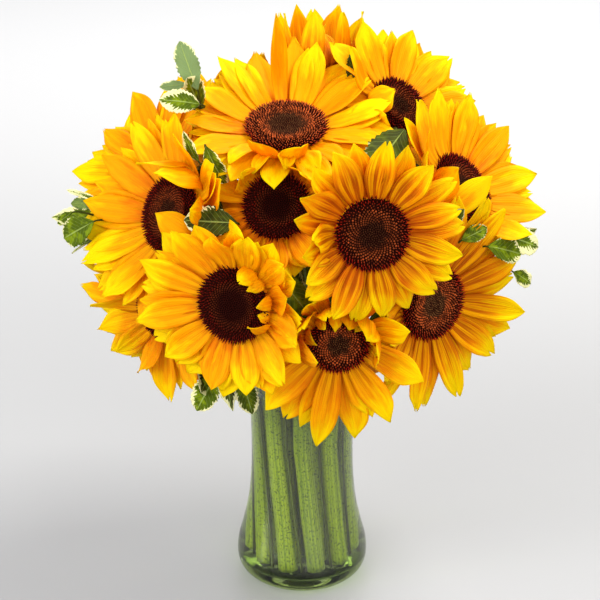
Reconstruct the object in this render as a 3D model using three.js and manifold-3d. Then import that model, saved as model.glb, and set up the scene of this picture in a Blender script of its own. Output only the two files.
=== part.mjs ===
// Sunflowers and variegated foliage standing in water in a flared clear glass vase.
// Millimetres, +Z up. The origin is the centre of the vase's foot, on the table; -Y is the front.
import * as THREE from "three";
import Module from "manifold-3d";

const wasm = await Module();
wasm.setup();

const { sin, cos, PI } = Math;
const V = (x, y, z) => new THREE.Vector3(x, y, z);
const radians = THREE.MathUtils.degToRad;

// Driving dimensions, in millimetres and degrees.

// Outside of the glass, as [radius, height], from the edge of the flat foot up to the lip.
const VASE_OUTSIDE = [
  [38, 0], [45, 3.5], [49.4, 11], [49.4, 24], [45.2, 41], [40.8, 63],
  [38.6, 92], [38.6, 122], [40, 150], [45.2, 170], [53, 189],
];
const VASE = { wall: 2.5, floor: 12, innerCorner: 7, sides: 24, heights: 11, rimRoom: 4 };
// Steps of the lip from the outside's end, and of the inside's bottom corner, as [inward, up].
const LIP = [[0.9, 1.4], [2.2, 1]];
const CORNER = [1.6, 3.4];
const WATER = { level: 160, gap: 0.4 };
const NECK_HEIGHT = 118;
const LEAVE_HEIGHT = 166;

// The stems pass the neck in three rings, and spread again towards the foot.
const RING_RADIUS = { core: 0, inner: 14.2, outer: 28.2, twig: 31.4 };
const STEM = {
  radius: 6.2, sides: 6, foot: 13.4, footSpread: 0.95, footTwist: 20, neckSpread: 1.14,
  lean: 0.2, bends: 5,
};
const TWIG = { radius: 1.5, sides: 4, foot: 1.3, end: 0.75 };
// The room round a stem in its hole, and how far the hole goes on below the foot.
const HOLE = { gap: 0.4, below: 0.06 };

// How each bloom is built up, seen from the side. Heights are along the way it faces.
const FRONT_ROW = { z: 0, shift: 0.5, lift: 3, key: 0 };
const BACK_ROW = { z: -2.3, shift: 0, lift: -7, key: 1 };
const PETAL = {
  pitch: 14.2, width: 18, thickness: 1.2, arch: 0.2, yaw: 5, twist: 16,
  liftWobble: 4, sizeWobble: 0.08, fused: 0.37, lifted: 0.45, steps: 16,
};
// Share of the length, and share of the full width there.
const PETAL_STATIONS = [[0.38, 0.97], [0.74, 0.8]];
const DISC = { seat: 0.35, edge: 1, sides: 14, bump: 1.2 };
// Rings of the disc as [share of the radius, height above its underside].
const DISC_RINGS = [[1, 4.2], [0.8, 7.2], [0.44, 5.4]];
const CALYX = {
  top: -3.3, bracts: 9, notch: 0.86, notchDrop: 1.2, tip: 9, tipDrop: 6.5,
  cupRadius: 12, cupDepth: 15, end: 22,
};
const LEAF = {
  thickness: 1.1, arch: 0.14, twigShare: 0.45, twigPower: 1.2, lastSpot: 0.985, turn: 137.5,
  turnWobble: 40, lean: 52, leanWobble: 12, endLean: 12, halfWidth: 0.29, reach: 1.1,
  sizeWobble: 0.12, droop: 0.16, droopWobble: 0.1,
};
// Share of the length, and half the width there as a share of the greatest: the leaf's cut edge.
const LEAF_STATIONS = [[0, 0.05], [0.24, 0.74], [0.48, 1], [0.55, 0.84], [0.8, 0.7]];
const SPRAY_SEED = 40;

// Each bloom: where the middle of its disc is, the azimuth (0 is the front, 90 the right) and
// elevation that it faces, the radius of its disc, the length of its petals, how far they lift
// and curl, and the ring and angle at which its stem passes the neck. Folds bend the petals
// round one side: [towards, spread, lift, curl, reach], the angle measured from the bloom's
// right, 90 being its top. The first blooms lie over the later ones.
const BLOOMS = [
  { name: "middle", at: [45, -127, 329], faces: [6, 8],
    disc: 24.5, petal: 37, lift: 14, curl: -34, stem: ["inner", -70],
    folds: [[180, 35, 46, 26, 0.72], [90, 50, 34, -26, 1.12], [-90, 50, -2, -30, 1.05]] },
  { name: "top", at: [-11, -20, 363], faces: [0, 73],
    disc: 28.5, petal: 47, lift: 8, curl: -8, stem: ["core", 0],
    folds: [[90, 50, 40, -4, 1.2], [98, 9, 50, -4, 1.4], [-90, 48, 6, -34, 0.78]] },
  { name: "lower_left", at: [-45, -106, 269], faces: [-24, 10],
    disc: 26, petal: 42, lift: 9, curl: -10, stem: ["outer", -130],
    folds: [[20, 52, 40, 4, 0.66], [100, 30, 44, 4, 0.75], [180, 50, 8, -8, 1.1], [-80, 30, 6, -12, 0.92]] },
  { name: "lower_right", at: [88, -76, 257], faces: [34, 2],
    disc: 26, petal: 54, lift: 11, curl: -12, stem: ["outer", -50],
    folds: [[150, 50, 36, 8, 0.6], [-155, 30, 24, 0, 0.62], [-90, 45, 2, -14, 1]] },
  { name: "bottom", at: [24, -112, 244], faces: [2, -2],
    disc: 21, petal: 48, lift: 7, curl: -8, stem: ["outer", -90],
    folds: [[90, 50, 64, 46, 0.56], [5, 30, 40, 10, 0.8], [175, 30, 40, 10, 0.75], [-90, 50, 2, -4, 1.2]] },
  { name: "left", at: [-89, -50, 312], faces: [-50, 24],
    disc: 27, petal: 52, lift: 20, curl: 0, stem: ["outer", -170],
    folds: [[0, 46, 54, 8, 0.8], [130, 35, 20, 0, 0.85], [195, 50, 20, 0, 1.15]] },
  { name: "right", at: [109, -38, 325], faces: [58, 38],
    disc: 26, petal: 48, lift: 22, curl: 0, stem: ["outer", -10],
    folds: [[180, 46, 76, 6, 0.95], [-90, 34, 58, 20, 0.7]] },
  { name: "centre", at: [-17, -76, 327], faces: [-6, 34],
    disc: 23, petal: 34, lift: 10, curl: 0, stem: ["inner", -142],
    folds: [[0, 40, 52, 20, 0.8], [90, 50, -10, 0, 0.8], [-90, 40, 22, 10, 0.85]] },
  { name: "upper_right", at: [67, 16, 367], faces: [44, 44],
    disc: 22, petal: 43, lift: 20, curl: 0, stem: ["inner", 2],
    folds: [[200, 45, 60, 10, 0.85]] },
  { name: "outer_left", at: [-101, -16, 221], faces: [-40, -12],
    disc: 21, petal: 60, lift: 2, curl: -6, stem: ["outer", 150],
    folds: [[30, 62, 74, 40, 0.66], [-50, 40, 8, -4, 0.75]] },
  { name: "upper_left", at: [-107, 28, 320], faces: [-60, 46],
    disc: 25, petal: 48, lift: 14, curl: 4, stem: ["outer", 110],
    folds: [] },
  { name: "top_back", at: [14, 60, 388], faces: [160, 84],
    disc: 13, petal: 42, lift: 71, curl: 14, stem: ["inner", 74],
    folds: [] },
  { name: "back_left", at: [-58, 84, 334], faces: [-150, 44],
    disc: 26, petal: 46, lift: 18, curl: -6, stem: ["inner", 146],
    folds: [] },
  { name: "back_right", at: [96, 60, 290], faces: [124, 14],
    disc: 26, petal: 44, lift: 16, curl: -8, stem: ["outer", 30],
    folds: [] },
  { name: "back", at: [14, 114, 294], faces: [176, 14],
    disc: 26, petal: 44, lift: 14, curl: -8, stem: ["outer", 70],
    folds: [] },
];

// Petals that would cross something are tried at these bends and reaches, in this order.
const BENDS = [0, -7, 7, -14, 14, -21, 21, -28, 28, -36, 36, -45, 45, -55, 55, 66, 78, 90];
const REACHES = [1, 0.84, 0.7, 0.56];
const CLEAR = { sameBloom: 0.12, others: 0.45, leaf: 0.4, stem: 0.35 };

// Each spray of foliage: the angle at which its twig passes the neck, where the twig ends and
// the azimuth and elevation in which it ends, and the number and length of its leaves.
const SPRAYS = [
  { name: "upper_left", slot: 130, end: [-72, 0, 372], faces: [-40, 40], leaves: 5, leaf: 38 },
  { name: "right", slot: -30, end: [132, -22, 272], faces: [60, 10], leaves: 5, leaf: 38 },
  { name: "left", slot: 170, end: [-138, 2, 286], faces: [-70, 10], leaves: 5, leaf: 38 },
  { name: "rim_left", slot: -150, end: [-60, -50, 196], faces: [-30, -50], leaves: 5, leaf: 36 },
  { name: "centre_left", slot: -110, end: [-50, -62, 302], faces: [-30, 45], leaves: 4, leaf: 36 },
  { name: "top_right", slot: 10, end: [44, -46, 350], faces: [30, 60], leaves: 4, leaf: 36 },
  { name: "centre_low", slot: -70, end: [-6, -66, 250], faces: [-5, 40], leaves: 3, leaf: 30 },
  { name: "back_left", slot: 90, end: [-54, 84, 236], faces: [-150, 0], leaves: 4, leaf: 38 },
  { name: "back_right", slot: 50, end: [60, 84, 232], faces: [150, 0], leaves: 4, leaf: 38 },
];

const COLOURS = {
  glass: { color: 0xe4efec, roughness: 0.05, metalness: 0, transparent: true, opacity: 0.35 },
  water: { color: 0xd9e8e0, roughness: 0.05, metalness: 0, transparent: true, opacity: 0.4 },
  petal: { color: 0xf7b012, roughness: 0.55, metalness: 0 },
  disc: { color: 0x3a160e, roughness: 0.9, metalness: 0 },
  stem: { color: 0x7c9644, roughness: 0.65, metalness: 0 },
  leaf: { color: 0x567a2c, roughness: 0.45, metalness: 0 },
};

// Closed skins of points and triangles.

// A closed surface put together face by face, from points that its faces share.
class Skin {
  points = [];
  faces = [];

  add(point) {
    return this.points.push(point) - 1;
  }

  ring(points) {
    return points.map((point) => this.add(point));
  }

  // The wall between two rings that both turn anticlockwise round the way from inner to outer.
  wall(inner, outer) {
    inner.forEach((a, i) => {
      const j = (i + 1) % inner.length;
      this.faces.push(a, inner[j], outer[j], a, outer[j], outer[i]);
    });
  }

  // A fan from one point to a ring, facing the side from which the ring turns anticlockwise.
  fan(middle, ring) {
    ring.forEach((a, i) => this.faces.push(middle, a, ring[(i + 1) % ring.length]));
  }

  lid(ring) {
    for (let i = 1; i < ring.length - 1; i++) this.faces.push(ring[0], ring[i], ring[i + 1]);
  }

  moved(matrix) {
    const skin = new Skin();
    skin.points = this.points.map((point) => point.clone().applyMatrix4(matrix));
    skin.faces = this.faces;
    return skin;
  }

  solid() {
    return new wasm.Manifold(new wasm.Mesh({
      numProp: 3,
      vertProperties: new Float32Array(this.points.flatMap((point) => point.toArray())),
      triVerts: new Uint32Array(this.faces),
    }));
  }
}

const NOISE = { weights: [12.9898, 78.233, 37.719], spread: 43758.5453 };

// Seeded noise from -1 to 1: the same key always gives the same number.
function wobble(...key) {
  const sum = key.reduce((total, k, i) => total + (k + 1) * NOISE.weights[i], 0);
  const mixed = sin(sum) * NOISE.spread;
  return 2 * (mixed - Math.floor(mixed)) - 1;
}

const polar = (radius, angle, z) => V(radius * cos(angle), radius * sin(angle), z);

// The frame of something that faces an azimuth and elevation: right, up and outward.
function frameFacing(at, [azimuth, elevation]) {
  const [a, e] = [radians(azimuth), radians(elevation)];
  const outward = V(sin(a) * cos(e), -cos(a) * cos(e), sin(e));
  const right = V(0, 0, 1).cross(outward).normalize();
  const up = outward.clone().cross(right);
  return new THREE.Matrix4().makeBasis(right, up, outward).setPosition(...at);
}

// Petals and leaves: thin blades with sharp edges, thickest along the midrib.

// The four points of a blade's section: one edge, the face, the other edge, the back.
function bladeSection(centre, side, face, halfWidth, { thickness, arch }) {
  const rise = arch * halfWidth;
  const half = thickness / 2;
  const place = (across, up) => centre.clone().addScaledVector(side, across).addScaledVector(face, up);
  return [place(halfWidth, rise), place(0, half), place(-halfWidth, rise), place(0, -half)];
}

// The skin between two sections, split alike on the face and the back.
function bladeWall(skin, [a, b, c, d], [e, f, g, h]) {
  skin.faces.push(a, b, f, a, f, e, b, c, f, c, g, f, c, d, h, c, h, g, d, a, h, a, e, h);
}

function bladeTip(skin, section, tip) {
  section.forEach((a, i) => skin.faces.push(a, section[(i + 1) % 4], tip));
}

// How a bloom's petals lift, curl and reach at one angle round it.
function foldAt(bloom, angle) {
  const fold = { lift: bloom.lift, curl: bloom.curl, reach: 1 };
  for (const [towards, spread, lift, curl, reach] of bloom.folds) {
    const away = ((((angle - towards) % 360) + 540) % 360) - 180;
    const share = Math.exp(-((away / spread) ** 2));
    fold.lift += share * (lift - bloom.lift);
    fold.curl += share * (curl - bloom.curl);
    fold.reach += share * (reach - 1);
  }
  return fold;
}

const petalsPerRow = (bloom) => Math.round((2 * PI * bloom.disc) / PETAL.pitch);

// One petal in its bloom's frame: its section at a share of its length, and its tip.
function petalForm(bloom, row, index, bend, reach) {
  const seed = BLOOMS.indexOf(bloom);
  const draw = (channel) => wobble(seed, index, channel + 8 * row.key);
  const step = (2 * PI) / petalsPerRow(bloom);
  const angle = (index + row.shift) * step;
  const fold = foldAt(bloom, THREE.MathUtils.radToDeg(angle));
  const lift = radians(fold.lift + row.lift + bend + PETAL.liftWobble * draw(1));
  const curl = radians(fold.curl);
  const length = bloom.petal * fold.reach * reach * (1 + PETAL.sizeWobble * draw(2));
  const halfWidth = (PETAL.width / 2) * (1 + PETAL.sizeWobble * draw(3));
  const aim = angle + radians(PETAL.yaw * draw(4));
  const twist = radians(PETAL.twist * draw(5));
  const slopeAt = (s) => lift * sin((PI / 2) * Math.min(1, s / PETAL.lifted)) + curl * s * s;
  const root = polar(bloom.disc, angle, row.z);
  const [outward, side, front] = [polar(1, aim, 0), polar(1, aim + PI / 2, 0), V(0, 0, 1)];
  const midrib = (s) => {
    const point = root.clone();
    for (let k = 0; k < PETAL.steps; k++) {
      const slope = slopeAt(((k + 0.5) / PETAL.steps) * s);
      point.addScaledVector(outward, (cos(slope) * length * s) / PETAL.steps);
      point.addScaledVector(front, (sin(slope) * length * s) / PETAL.steps);
    }
    return point;
  };
  const section = ([s, width]) => {
    const slope = slopeAt(s);
    const along = outward.clone().multiplyScalar(cos(slope)).addScaledVector(front, sin(slope));
    const across = side.clone().applyAxisAngle(along, twist * s);
    const face = along.clone().cross(across);
    return bladeSection(midrib(s), across, face, halfWidth * width, PETAL);
  };
  const rootSection = [
    polar(bloom.disc, angle + step / 2, row.z),
    polar(bloom.disc, angle, row.z + PETAL.thickness / 2),
    polar(bloom.disc, angle - step / 2, row.z),
    polar(bloom.disc, angle, row.z - PETAL.thickness / 2),
  ];
  return { rootSection, sections: PETAL_STATIONS.map(section), tip: midrib(1) };
}

// One petal as a solid of its own, from a share of the way to its first section.
function petalBlade({ rootSection, sections, tip }, from) {
  const skin = new Skin();
  const start = skin.ring(rootSection.map((point, i) => point.clone().lerp(sections[0][i], from)));
  const rings = [start, ...sections.map((section) => skin.ring(section))];
  skin.lid([...start].reverse());
  rings.slice(1).forEach((ring, i) => bladeWall(skin, rings[i], ring));
  bladeTip(skin, rings.at(-1), skin.add(tip));
  return skin;
}

// A bloom's petals as one body: two rows growing from the rim of a thin plate. A petal that
// found no clear place is left out, and its root closed.
function petalSkin(bloom, forms) {
  const skin = new Skin();
  const n = petalsPerRow(bloom);
  const rim = (k, z) => skin.add(polar(bloom.disc, (k * PI) / n, z));
  const half = PETAL.thickness / 2;
  const spots = Array.from({ length: 2 * n }, (_, k) => k);
  const byTurns = (evens, odds) => spots.map((k) => (k % 2 === 0 ? evens(k) : odds(k)));
  const edges = byTurns((k) => rim(k, FRONT_ROW.z), (k) => rim(k, BACK_ROW.z));
  const tops = byTurns((k) => rim(k, BACK_ROW.z + half), (k) => rim(k, FRONT_ROW.z + half));
  const unders = byTurns((k) => rim(k, BACK_ROW.z - half), (k) => rim(k, FRONT_ROW.z - half));
  const [edge, top, under] = [edges, tops, unders].map((points) => (k) => points[k]);
  skin.fan(skin.add(V(0, 0, FRONT_ROW.z + half)), byTurns(edge, top));
  skin.wall(byTurns(top, edge), byTurns(edge, under));
  skin.fan(skin.add(V(0, 0, BACK_ROW.z - half)), byTurns(under, edge).reverse());
  for (const k of spots) {
    const root = [edges[(k + 1) % (2 * n)], tops[k], edges[(k + 2 * n - 1) % (2 * n)], unders[k]];
    const form = forms[k];
    if (!form) {
      skin.lid(root);
      continue;
    }
    const rings = [root, ...form.sections.map((section) => skin.ring(section))];
    rings.slice(1).forEach((ring, i) => bladeWall(skin, rings[i], ring));
    bladeTip(skin, rings.at(-1), skin.add(form.tip));
  }
  return skin;
}

// Discs, calyxes, stems and twigs.

// The disc of florets: rings of raised and sunken points, in its bloom's frame.
function discSkin(bloom) {
  const skin = new Skin();
  const radius = bloom.disc - DISC.edge;
  const base = FRONT_ROW.z + PETAL.thickness / 2 + DISC.seat;
  const ringAt = (share, height, level) => skin.ring(Array.from({ length: DISC.sides }, (_, i) => {
    const bump = level < 0 ? 0 : DISC.bump * share * ((i + level) % 2 ? 1 : -1);
    const turn = ((i + level / 2) * 2 * PI) / DISC.sides;
    return polar(radius * share, turn, base + height + bump);
  }));
  const foot = ringAt(1, 0, -1);
  const rings = [foot, ...DISC_RINGS.map(([share, height], level) => ringAt(share, height, level))];
  skin.fan(skin.add(V(0, 0, base)), [...foot].reverse());
  rings.slice(1).forEach((ring, i) => skin.wall(rings[i], ring));
  skin.fan(skin.add(V(0, 0, base + DISC_RINGS.at(-1)[1])), rings.at(-1));
  return skin;
}

// The rings of the green back of a bloom: a rim drawn out into pointed bracts, and its cup.
function calyxRings(bloom) {
  const n = 2 * CALYX.bracts;
  const turn = (i) => (i * 2 * PI) / n;
  const spots = Array.from({ length: n }, (_, i) => i);
  const rim = spots.map((i) => (i % 2
    ? polar(bloom.disc * CALYX.notch, turn(i), CALYX.top - CALYX.notchDrop)
    : polar(bloom.disc + CALYX.tip, turn(i), CALYX.top - CALYX.tipDrop)));
  return { rim, cup: spots.map((i) => polar(CALYX.cupRadius, turn(i), -CALYX.cupDepth)) };
}

// The rings of a tube along points, from a first direction across it. The last ring is square to
// the way in which the tube ends.
function tubeRings(points, radii, sides, endsAlong, across) {
  const last = points.length - 1;
  const rings = [];
  for (let i = last; i >= 0; i--) {
    const chord = points[Math.min(i + 1, last)].clone().sub(points[Math.max(i - 1, 0)]);
    const along = i === last ? endsAlong : chord.normalize();
    across = across.clone().addScaledVector(along, -across.dot(along)).normalize();
    const frame = new THREE.Matrix4().makeBasis(across, along.clone().cross(across), along);
    rings.unshift(Array.from({ length: sides }, (_, k) => {
      const spoke = polar(radii[i], (k * 2 * PI) / sides, 0);
      return spoke.applyMatrix4(frame).add(points[i]);
    }));
  }
  return rings;
}

// A closed tube through rings.
function tubeSkin(tubeRings) {
  const skin = new Skin();
  const rings = tubeRings.map((ring) => skin.ring(ring));
  skin.lid([...rings[0]].reverse());
  rings.slice(1).forEach((ring, i) => skin.wall(rings[i], ring));
  skin.lid(rings.at(-1));
  return skin;
}

// The wall between a stem's ring and a cup's ring that has three points to each of its own.
function flareWall(skin, stem, cup) {
  stem.forEach((a, k) => {
    const b = stem[(k + 1) % stem.length];
    const [c, d, e, f] = [0, 1, 2, 3].map((step) => cup[(3 * k + step) % cup.length]);
    skin.faces.push(a, d, c, a, e, d, a, b, e, b, f, e);
  });
}

// A stem that opens out into its bloom's calyx.
function stemSkin(bloom, points) {
  const skin = new Skin();
  const { rim, cup } = calyxRings(bloom);
  const inPlace = (ring) => skin.ring(ring.map((point) => point.applyMatrix4(bloom.frame)));
  const rings = stemRings(bloom, points).map((ring) => skin.ring(ring));
  const [cupRing, rimRing] = [inPlace(cup), inPlace(rim)];
  skin.lid([...rings[0]].reverse());
  rings.slice(1).forEach((ring, i) => skin.wall(rings[i], ring));
  flareWall(skin, rings.at(-1), cupRing);
  skin.wall(cupRing, rimRing);
  skin.fan(skin.add(V(0, 0, CALYX.top).applyMatrix4(bloom.frame)), rimRing);
  return skin;
}

// The way in which something ends, and its right.
function endOf(thing) {
  return [V(0, 0, 1).transformDirection(thing.frame), V(1, 0, 0).transformDirection(thing.frame)];
}

// The way of a stem: straight from its foot through the neck, then curving to its end. The rise
// and the run are the pulls at the two ends of the curve, and the sway is a sideways one.
function stemPath(radius, angle, end, outward, { rise, run, sway }) {
  const turn = radians(angle);
  const foot = polar(radius * STEM.footSpread, turn + radians(STEM.footTwist), STEM.foot);
  const neck = polar(radius, turn, NECK_HEIGHT);
  const leave = polar(radius * STEM.neckSpread, turn, LEAVE_HEIGHT);
  const gap = leave.distanceTo(end);
  const upward = polar((STEM.lean * radius) / RING_RADIUS.outer, turn, 1).normalize();
  const first = leave.clone().addScaledVector(upward, gap * rise).add(polar(sway, turn + PI / 2, 0));
  const second = end.clone().addScaledVector(outward, -gap * run);
  return [foot, neck, ...new THREE.CubicBezierCurve3(leave, first, second, end).getPoints(STEM.bends)];
}

function stemOf(bloom, pulls) {
  const outward = endOf(bloom)[0];
  const end = V(...bloom.at).addScaledVector(outward, -CALYX.end);
  const [ring, angle] = bloom.stem;
  return stemPath(RING_RADIUS[ring], angle, end, outward, pulls);
}

function twigOf(spray, pulls) {
  return stemPath(RING_RADIUS.twig, spray.slot, V(...spray.end), endOf(spray)[0], pulls);
}

function stemRings(bloom, points, extra = 0) {
  return tubeRings(points, points.map(() => STEM.radius + extra), STEM.sides, ...endOf(bloom));
}

function twigRings(spray, points, extra = 0) {
  const radii = points.map((_, i) => TWIG.radius
    * THREE.MathUtils.lerp(TWIG.foot, TWIG.end, i / (points.length - 1)) + extra);
  return tubeRings(points, radii, TWIG.sides, ...endOf(spray));
}

// Leaves.

// One leaf of a spray, fixed to its twig: turned about the twig, pitched out from it, at a size.
function leafSkin(spray, points, index, turn, pitch, size) {
  const draw = (channel) => wobble(SPRAY_SEED + SPRAYS.indexOf(spray), index, channel);
  const share = 1 - LEAF.twigShare * (index / spray.leaves) ** LEAF.twigPower;
  const spot = new THREE.CatmullRomCurve3(points.slice(2)).getPoint(Math.min(share, LEAF.lastSpot));
  const along = points.at(-1).clone().sub(points.at(-3)).normalize();
  const azimuth = radians(LEAF.turn * index + LEAF.turnWobble * draw(1) + turn);
  const across = V(0, 0, 1).cross(along).normalize().applyAxisAngle(along, azimuth);
  const sideLean = LEAF.lean + LEAF.leanWobble * draw(2) + pitch;
  const lean = radians(index === 0 ? LEAF.endLean + pitch / 3 : sideLean);
  const outward = along.clone().multiplyScalar(cos(lean)).addScaledVector(across, sin(lean));
  const side = along.clone().cross(across).normalize();
  const face = outward.clone().cross(side);
  const length = spray.leaf * size * (1 + LEAF.sizeWobble * draw(3));
  const halfWidth = length * LEAF.halfWidth;
  const droop = LEAF.droop + LEAF.droopWobble * draw(4);
  const midrib = (s) => {
    const point = spot.clone().addScaledVector(outward, length * LEAF.reach * s);
    return point.addScaledVector(face, -droop * length * s * s);
  };
  const skin = new Skin();
  const rings = LEAF_STATIONS.map(([s, width]) => skin.ring(
    bladeSection(midrib(s), side, face, halfWidth * width, LEAF)));
  skin.lid([...rings[0]].reverse());
  rings.slice(1).forEach((ring, i) => bladeWall(skin, rings[i], ring));
  bladeTip(skin, rings.at(-1), skin.add(midrib(1)));
  return skin;
}

// The crowd of solids that petals and leaves keep clear of.

const crowd = [];

const ownerOf = (thing) => (thing.slot === undefined ? "bloom_" : "spray_") + thing.name;

// The whole is what others keep clear of; the free part is what the same owner's pieces do.
function join(whole, owner, free = whole) {
  crowd.push({ whole, free, owner, box: whole.boundingBox() });
}

// Whether a solid keeps a gap to everything else, and a smaller one to what has the same owner.
function isClear(whole, owner, ownGap, otherGap, free = whole) {
  const box = whole.boundingBox();
  return crowd.every((other) => {
    const own = other.owner === owner;
    const gap = own ? ownGap : otherGap;
    const beyond = (a, b) => [0, 1, 2].some((i) => a.min[i] > b.max[i] + gap);
    if (gap === 0 || beyond(box, other.box) || beyond(other.box, box)) return true;
    return (own ? free.minGap(other.free, gap) : whole.minGap(other.whole, gap)) >= gap;
  });
}

// Pulls on a stem's curve, tried in this order until it is clear of everything.
const PULLS = [0, 12, -12, 24, -24, 38, -38].flatMap((sway) => [0.5, 0.6, 0.42, 0.7, 0.34].flatMap(
  (rise) => [0.36, 0.28, 0.2, 0.44].map((run) => ({ rise, run, sway }))));

function clearWay(thing, wayOf, ringsOf) {
  const owner = ownerOf(thing);
  for (const pulls of PULLS) {
    const points = wayOf(thing, pulls);
    const solid = tubeSkin(ringsOf(thing, points)).solid();
    if (isClear(solid, owner, 0, CLEAR.stem)) {
      join(solid, owner);
      return points;
    }
  }
  throw new Error("no clear way for " + owner);
}

// The first bend and reach at which a petal is clear of everything, or nothing.
function clearPetal(bloom, row, index) {
  for (const reach of REACHES) {
    for (const bend of BENDS) {
      const form = petalForm(bloom, row, index, bend, reach);
      const from = (share) => petalBlade(form, share).moved(bloom.frame).solid();
      const [whole, free] = [from(0), from(PETAL.fused)];
      if (isClear(whole, ownerOf(bloom), CLEAR.sameBloom, CLEAR.others, free)) {
        join(whole, ownerOf(bloom), free);
        return form;
      }
    }
  }
  return null;
}

const LEAF_TURNS = [0, 30, -30, 60, -60, 95, -95, 135, 180];
const LEAF_PITCHES = [0, -20, 20, -38, 38];
const LEAF_SIZES = [1, 0.85, 0.7];

function clearLeaf(spray, points, index) {
  for (const size of LEAF_SIZES) {
    for (const pitch of LEAF_PITCHES) {
      for (const turn of LEAF_TURNS) {
        const solid = leafSkin(spray, points, index, turn, pitch, size).solid();
        if (isClear(solid, ownerOf(spray), 0, CLEAR.leaf)) return solid;
      }
    }
  }
  return null;
}

// Glass and water.

// A turned solid from a profile of [radius, height] that starts and ends on the axis.
function turned(profile) {
  const skin = new Skin();
  const rings = profile.slice(1, -1).map(([radius, z]) => skin.ring(
    Array.from({ length: VASE.sides }, (_, i) => polar(radius, (i * 2 * PI) / VASE.sides, z))));
  skin.fan(skin.add(V(0, 0, profile[0][1])), [...rings[0]].reverse());
  rings.slice(1).forEach((ring, i) => skin.wall(rings[i], ring));
  skin.fan(skin.add(V(0, 0, profile.at(-1)[1])), rings.at(-1));
  return skin;
}

const outsideCurve = new THREE.SplineCurve(VASE_OUTSIDE.map(([r, z]) => new THREE.Vector2(r, z)));
const outside = outsideCurve.getPoints(VASE.heights);
const lip = outside.at(-1);

// The inside of the glass from the floor's edge up to a height, drawn in by a gap.
function insideProfile(top, gap) {
  const low = VASE.floor + VASE.innerCorner;
  const wall = outside.filter((p) => p.y > low && p.y < top - VASE.rimRoom)
    .map((p) => [p.x - VASE.wall - gap, p.y]);
  const start = wall[0][0];
  const base = VASE.floor + gap;
  return [[start - VASE.innerCorner, base], [start - CORNER[0], base + CORNER[1]], ...wall];
}

function vaseSkin() {
  const wall = insideProfile(lip.y, 0);
  return turned([
    [0, 0], ...outside.map((p) => [p.x, p.y]), ...LIP.map(([inward, up]) => [lip.x - inward, lip.y + up]),
    ...wall.reverse(), [0, VASE.floor],
  ]);
}

function radiusInside(z) {
  const i = outside.findIndex((p) => p.y > z);
  const [a, b] = [outside[i - 1], outside[i]];
  return a.x + ((b.x - a.x) * (z - a.y)) / (b.y - a.y) - VASE.wall;
}

// The water, with a plain hole for each stem and twig that stands in it.
function waterSolid(stems, twigs) {
  const wall = insideProfile(WATER.level, WATER.gap);
  const top = [radiusInside(WATER.level) - WATER.gap, WATER.level];
  const bulk = turned([[0, VASE.floor + WATER.gap], ...wall, top, [0, WATER.level]]).solid();
  const hole = ([foot, neck, leave]) => {
    const start = foot.map((point, i) => point.lerp(neck[i], -HOLE.below));
    return tubeSkin([start, neck, leave]).solid();
  };
  const holes = [
    ...stems.map((points, i) => hole(stemRings(BLOOMS[i], points, HOLE.gap))),
    ...twigs.map((points, i) => hole(twigRings(SPRAYS[i], points, HOLE.gap))),
  ];
  return holes.reduce((left, cut) => left.subtract(cut), bulk);
}

// The whole, in the order in which it is put together.

for (const thing of BLOOMS) thing.frame = frameFacing(thing.at, thing.faces);
for (const thing of SPRAYS) thing.frame = frameFacing(thing.end, thing.faces);

const group = new THREE.Group();

function show(name, solid, colour) {
  const { vertProperties, triVerts } = solid.getMesh();
  const geometry = new THREE.BufferGeometry()
    .setAttribute("position", new THREE.BufferAttribute(new Float32Array(vertProperties), 3))
    .setIndex(new THREE.BufferAttribute(new Uint32Array(triVerts), 1));
  const mesh = new THREE.Mesh(geometry, new THREE.MeshStandardMaterial(colour));
  mesh.name = name;
  group.add(mesh);
}

const vase = vaseSkin().solid();
show("vase", vase, COLOURS.glass);
join(vase, "vase");

const discs = BLOOMS.map((bloom) => discSkin(bloom).moved(bloom.frame).solid());
BLOOMS.forEach((bloom, i) => {
  const plate = petalSkin(bloom, []).moved(bloom.frame).solid();
  const stub = [2, 1, 0].map((back) => V(0, 0, -CALYX.end - back).applyMatrix4(bloom.frame));
  const head = stemSkin(bloom, stub).solid();
  for (const solid of [discs[i], plate, head]) join(solid, ownerOf(bloom));
});
const stems = BLOOMS.map((bloom) => clearWay(bloom, stemOf, stemRings));
const twigs = SPRAYS.map((spray) => clearWay(spray, twigOf, twigRings));
show("water", waterSolid(stems, twigs), COLOURS.water);

BLOOMS.forEach((bloom, i) => {
  show(ownerOf(bloom) + "_disc", discs[i], COLOURS.disc);
  show(ownerOf(bloom) + "_stem", stemSkin(bloom, stems[i]).solid(), COLOURS.stem);
});

for (const bloom of BLOOMS) {
  const n = petalsPerRow(bloom);
  const forms = new Array(2 * n).fill(null);
  for (const row of [FRONT_ROW, BACK_ROW]) {
    for (let i = 0; i < n; i++) forms[2 * i + 2 * row.shift] = clearPetal(bloom, row, i);
  }
  show(ownerOf(bloom) + "_petals", petalSkin(bloom, forms).moved(bloom.frame).solid(), COLOURS.petal);
}

SPRAYS.forEach((spray, i) => {
  let whole = tubeSkin(twigRings(spray, twigs[i])).solid();
  for (let k = 0; k < spray.leaves; k++) {
    const leaf = clearLeaf(spray, twigs[i], k);
    if (!leaf) continue;
    join(leaf, "leaves");
    whole = whole.add(leaf);
  }
  show(ownerOf(spray), whole, COLOURS.leaf);
});

export default group;
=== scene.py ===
"""Sunflowers and variegated foliage in a flared glass vase of water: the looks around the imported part.

The shapes follow the part's own rules and driving dimensions, in millimetres and degrees, and
become metres where a mesh is made. The origin is the centre of the vase's foot, on the table;
+Z is up and -Y is the front.
"""

import copy
import logging
import math
from dataclasses import dataclass
from enum import Enum
from typing import ClassVar, Optional, Sequence, Union

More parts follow.
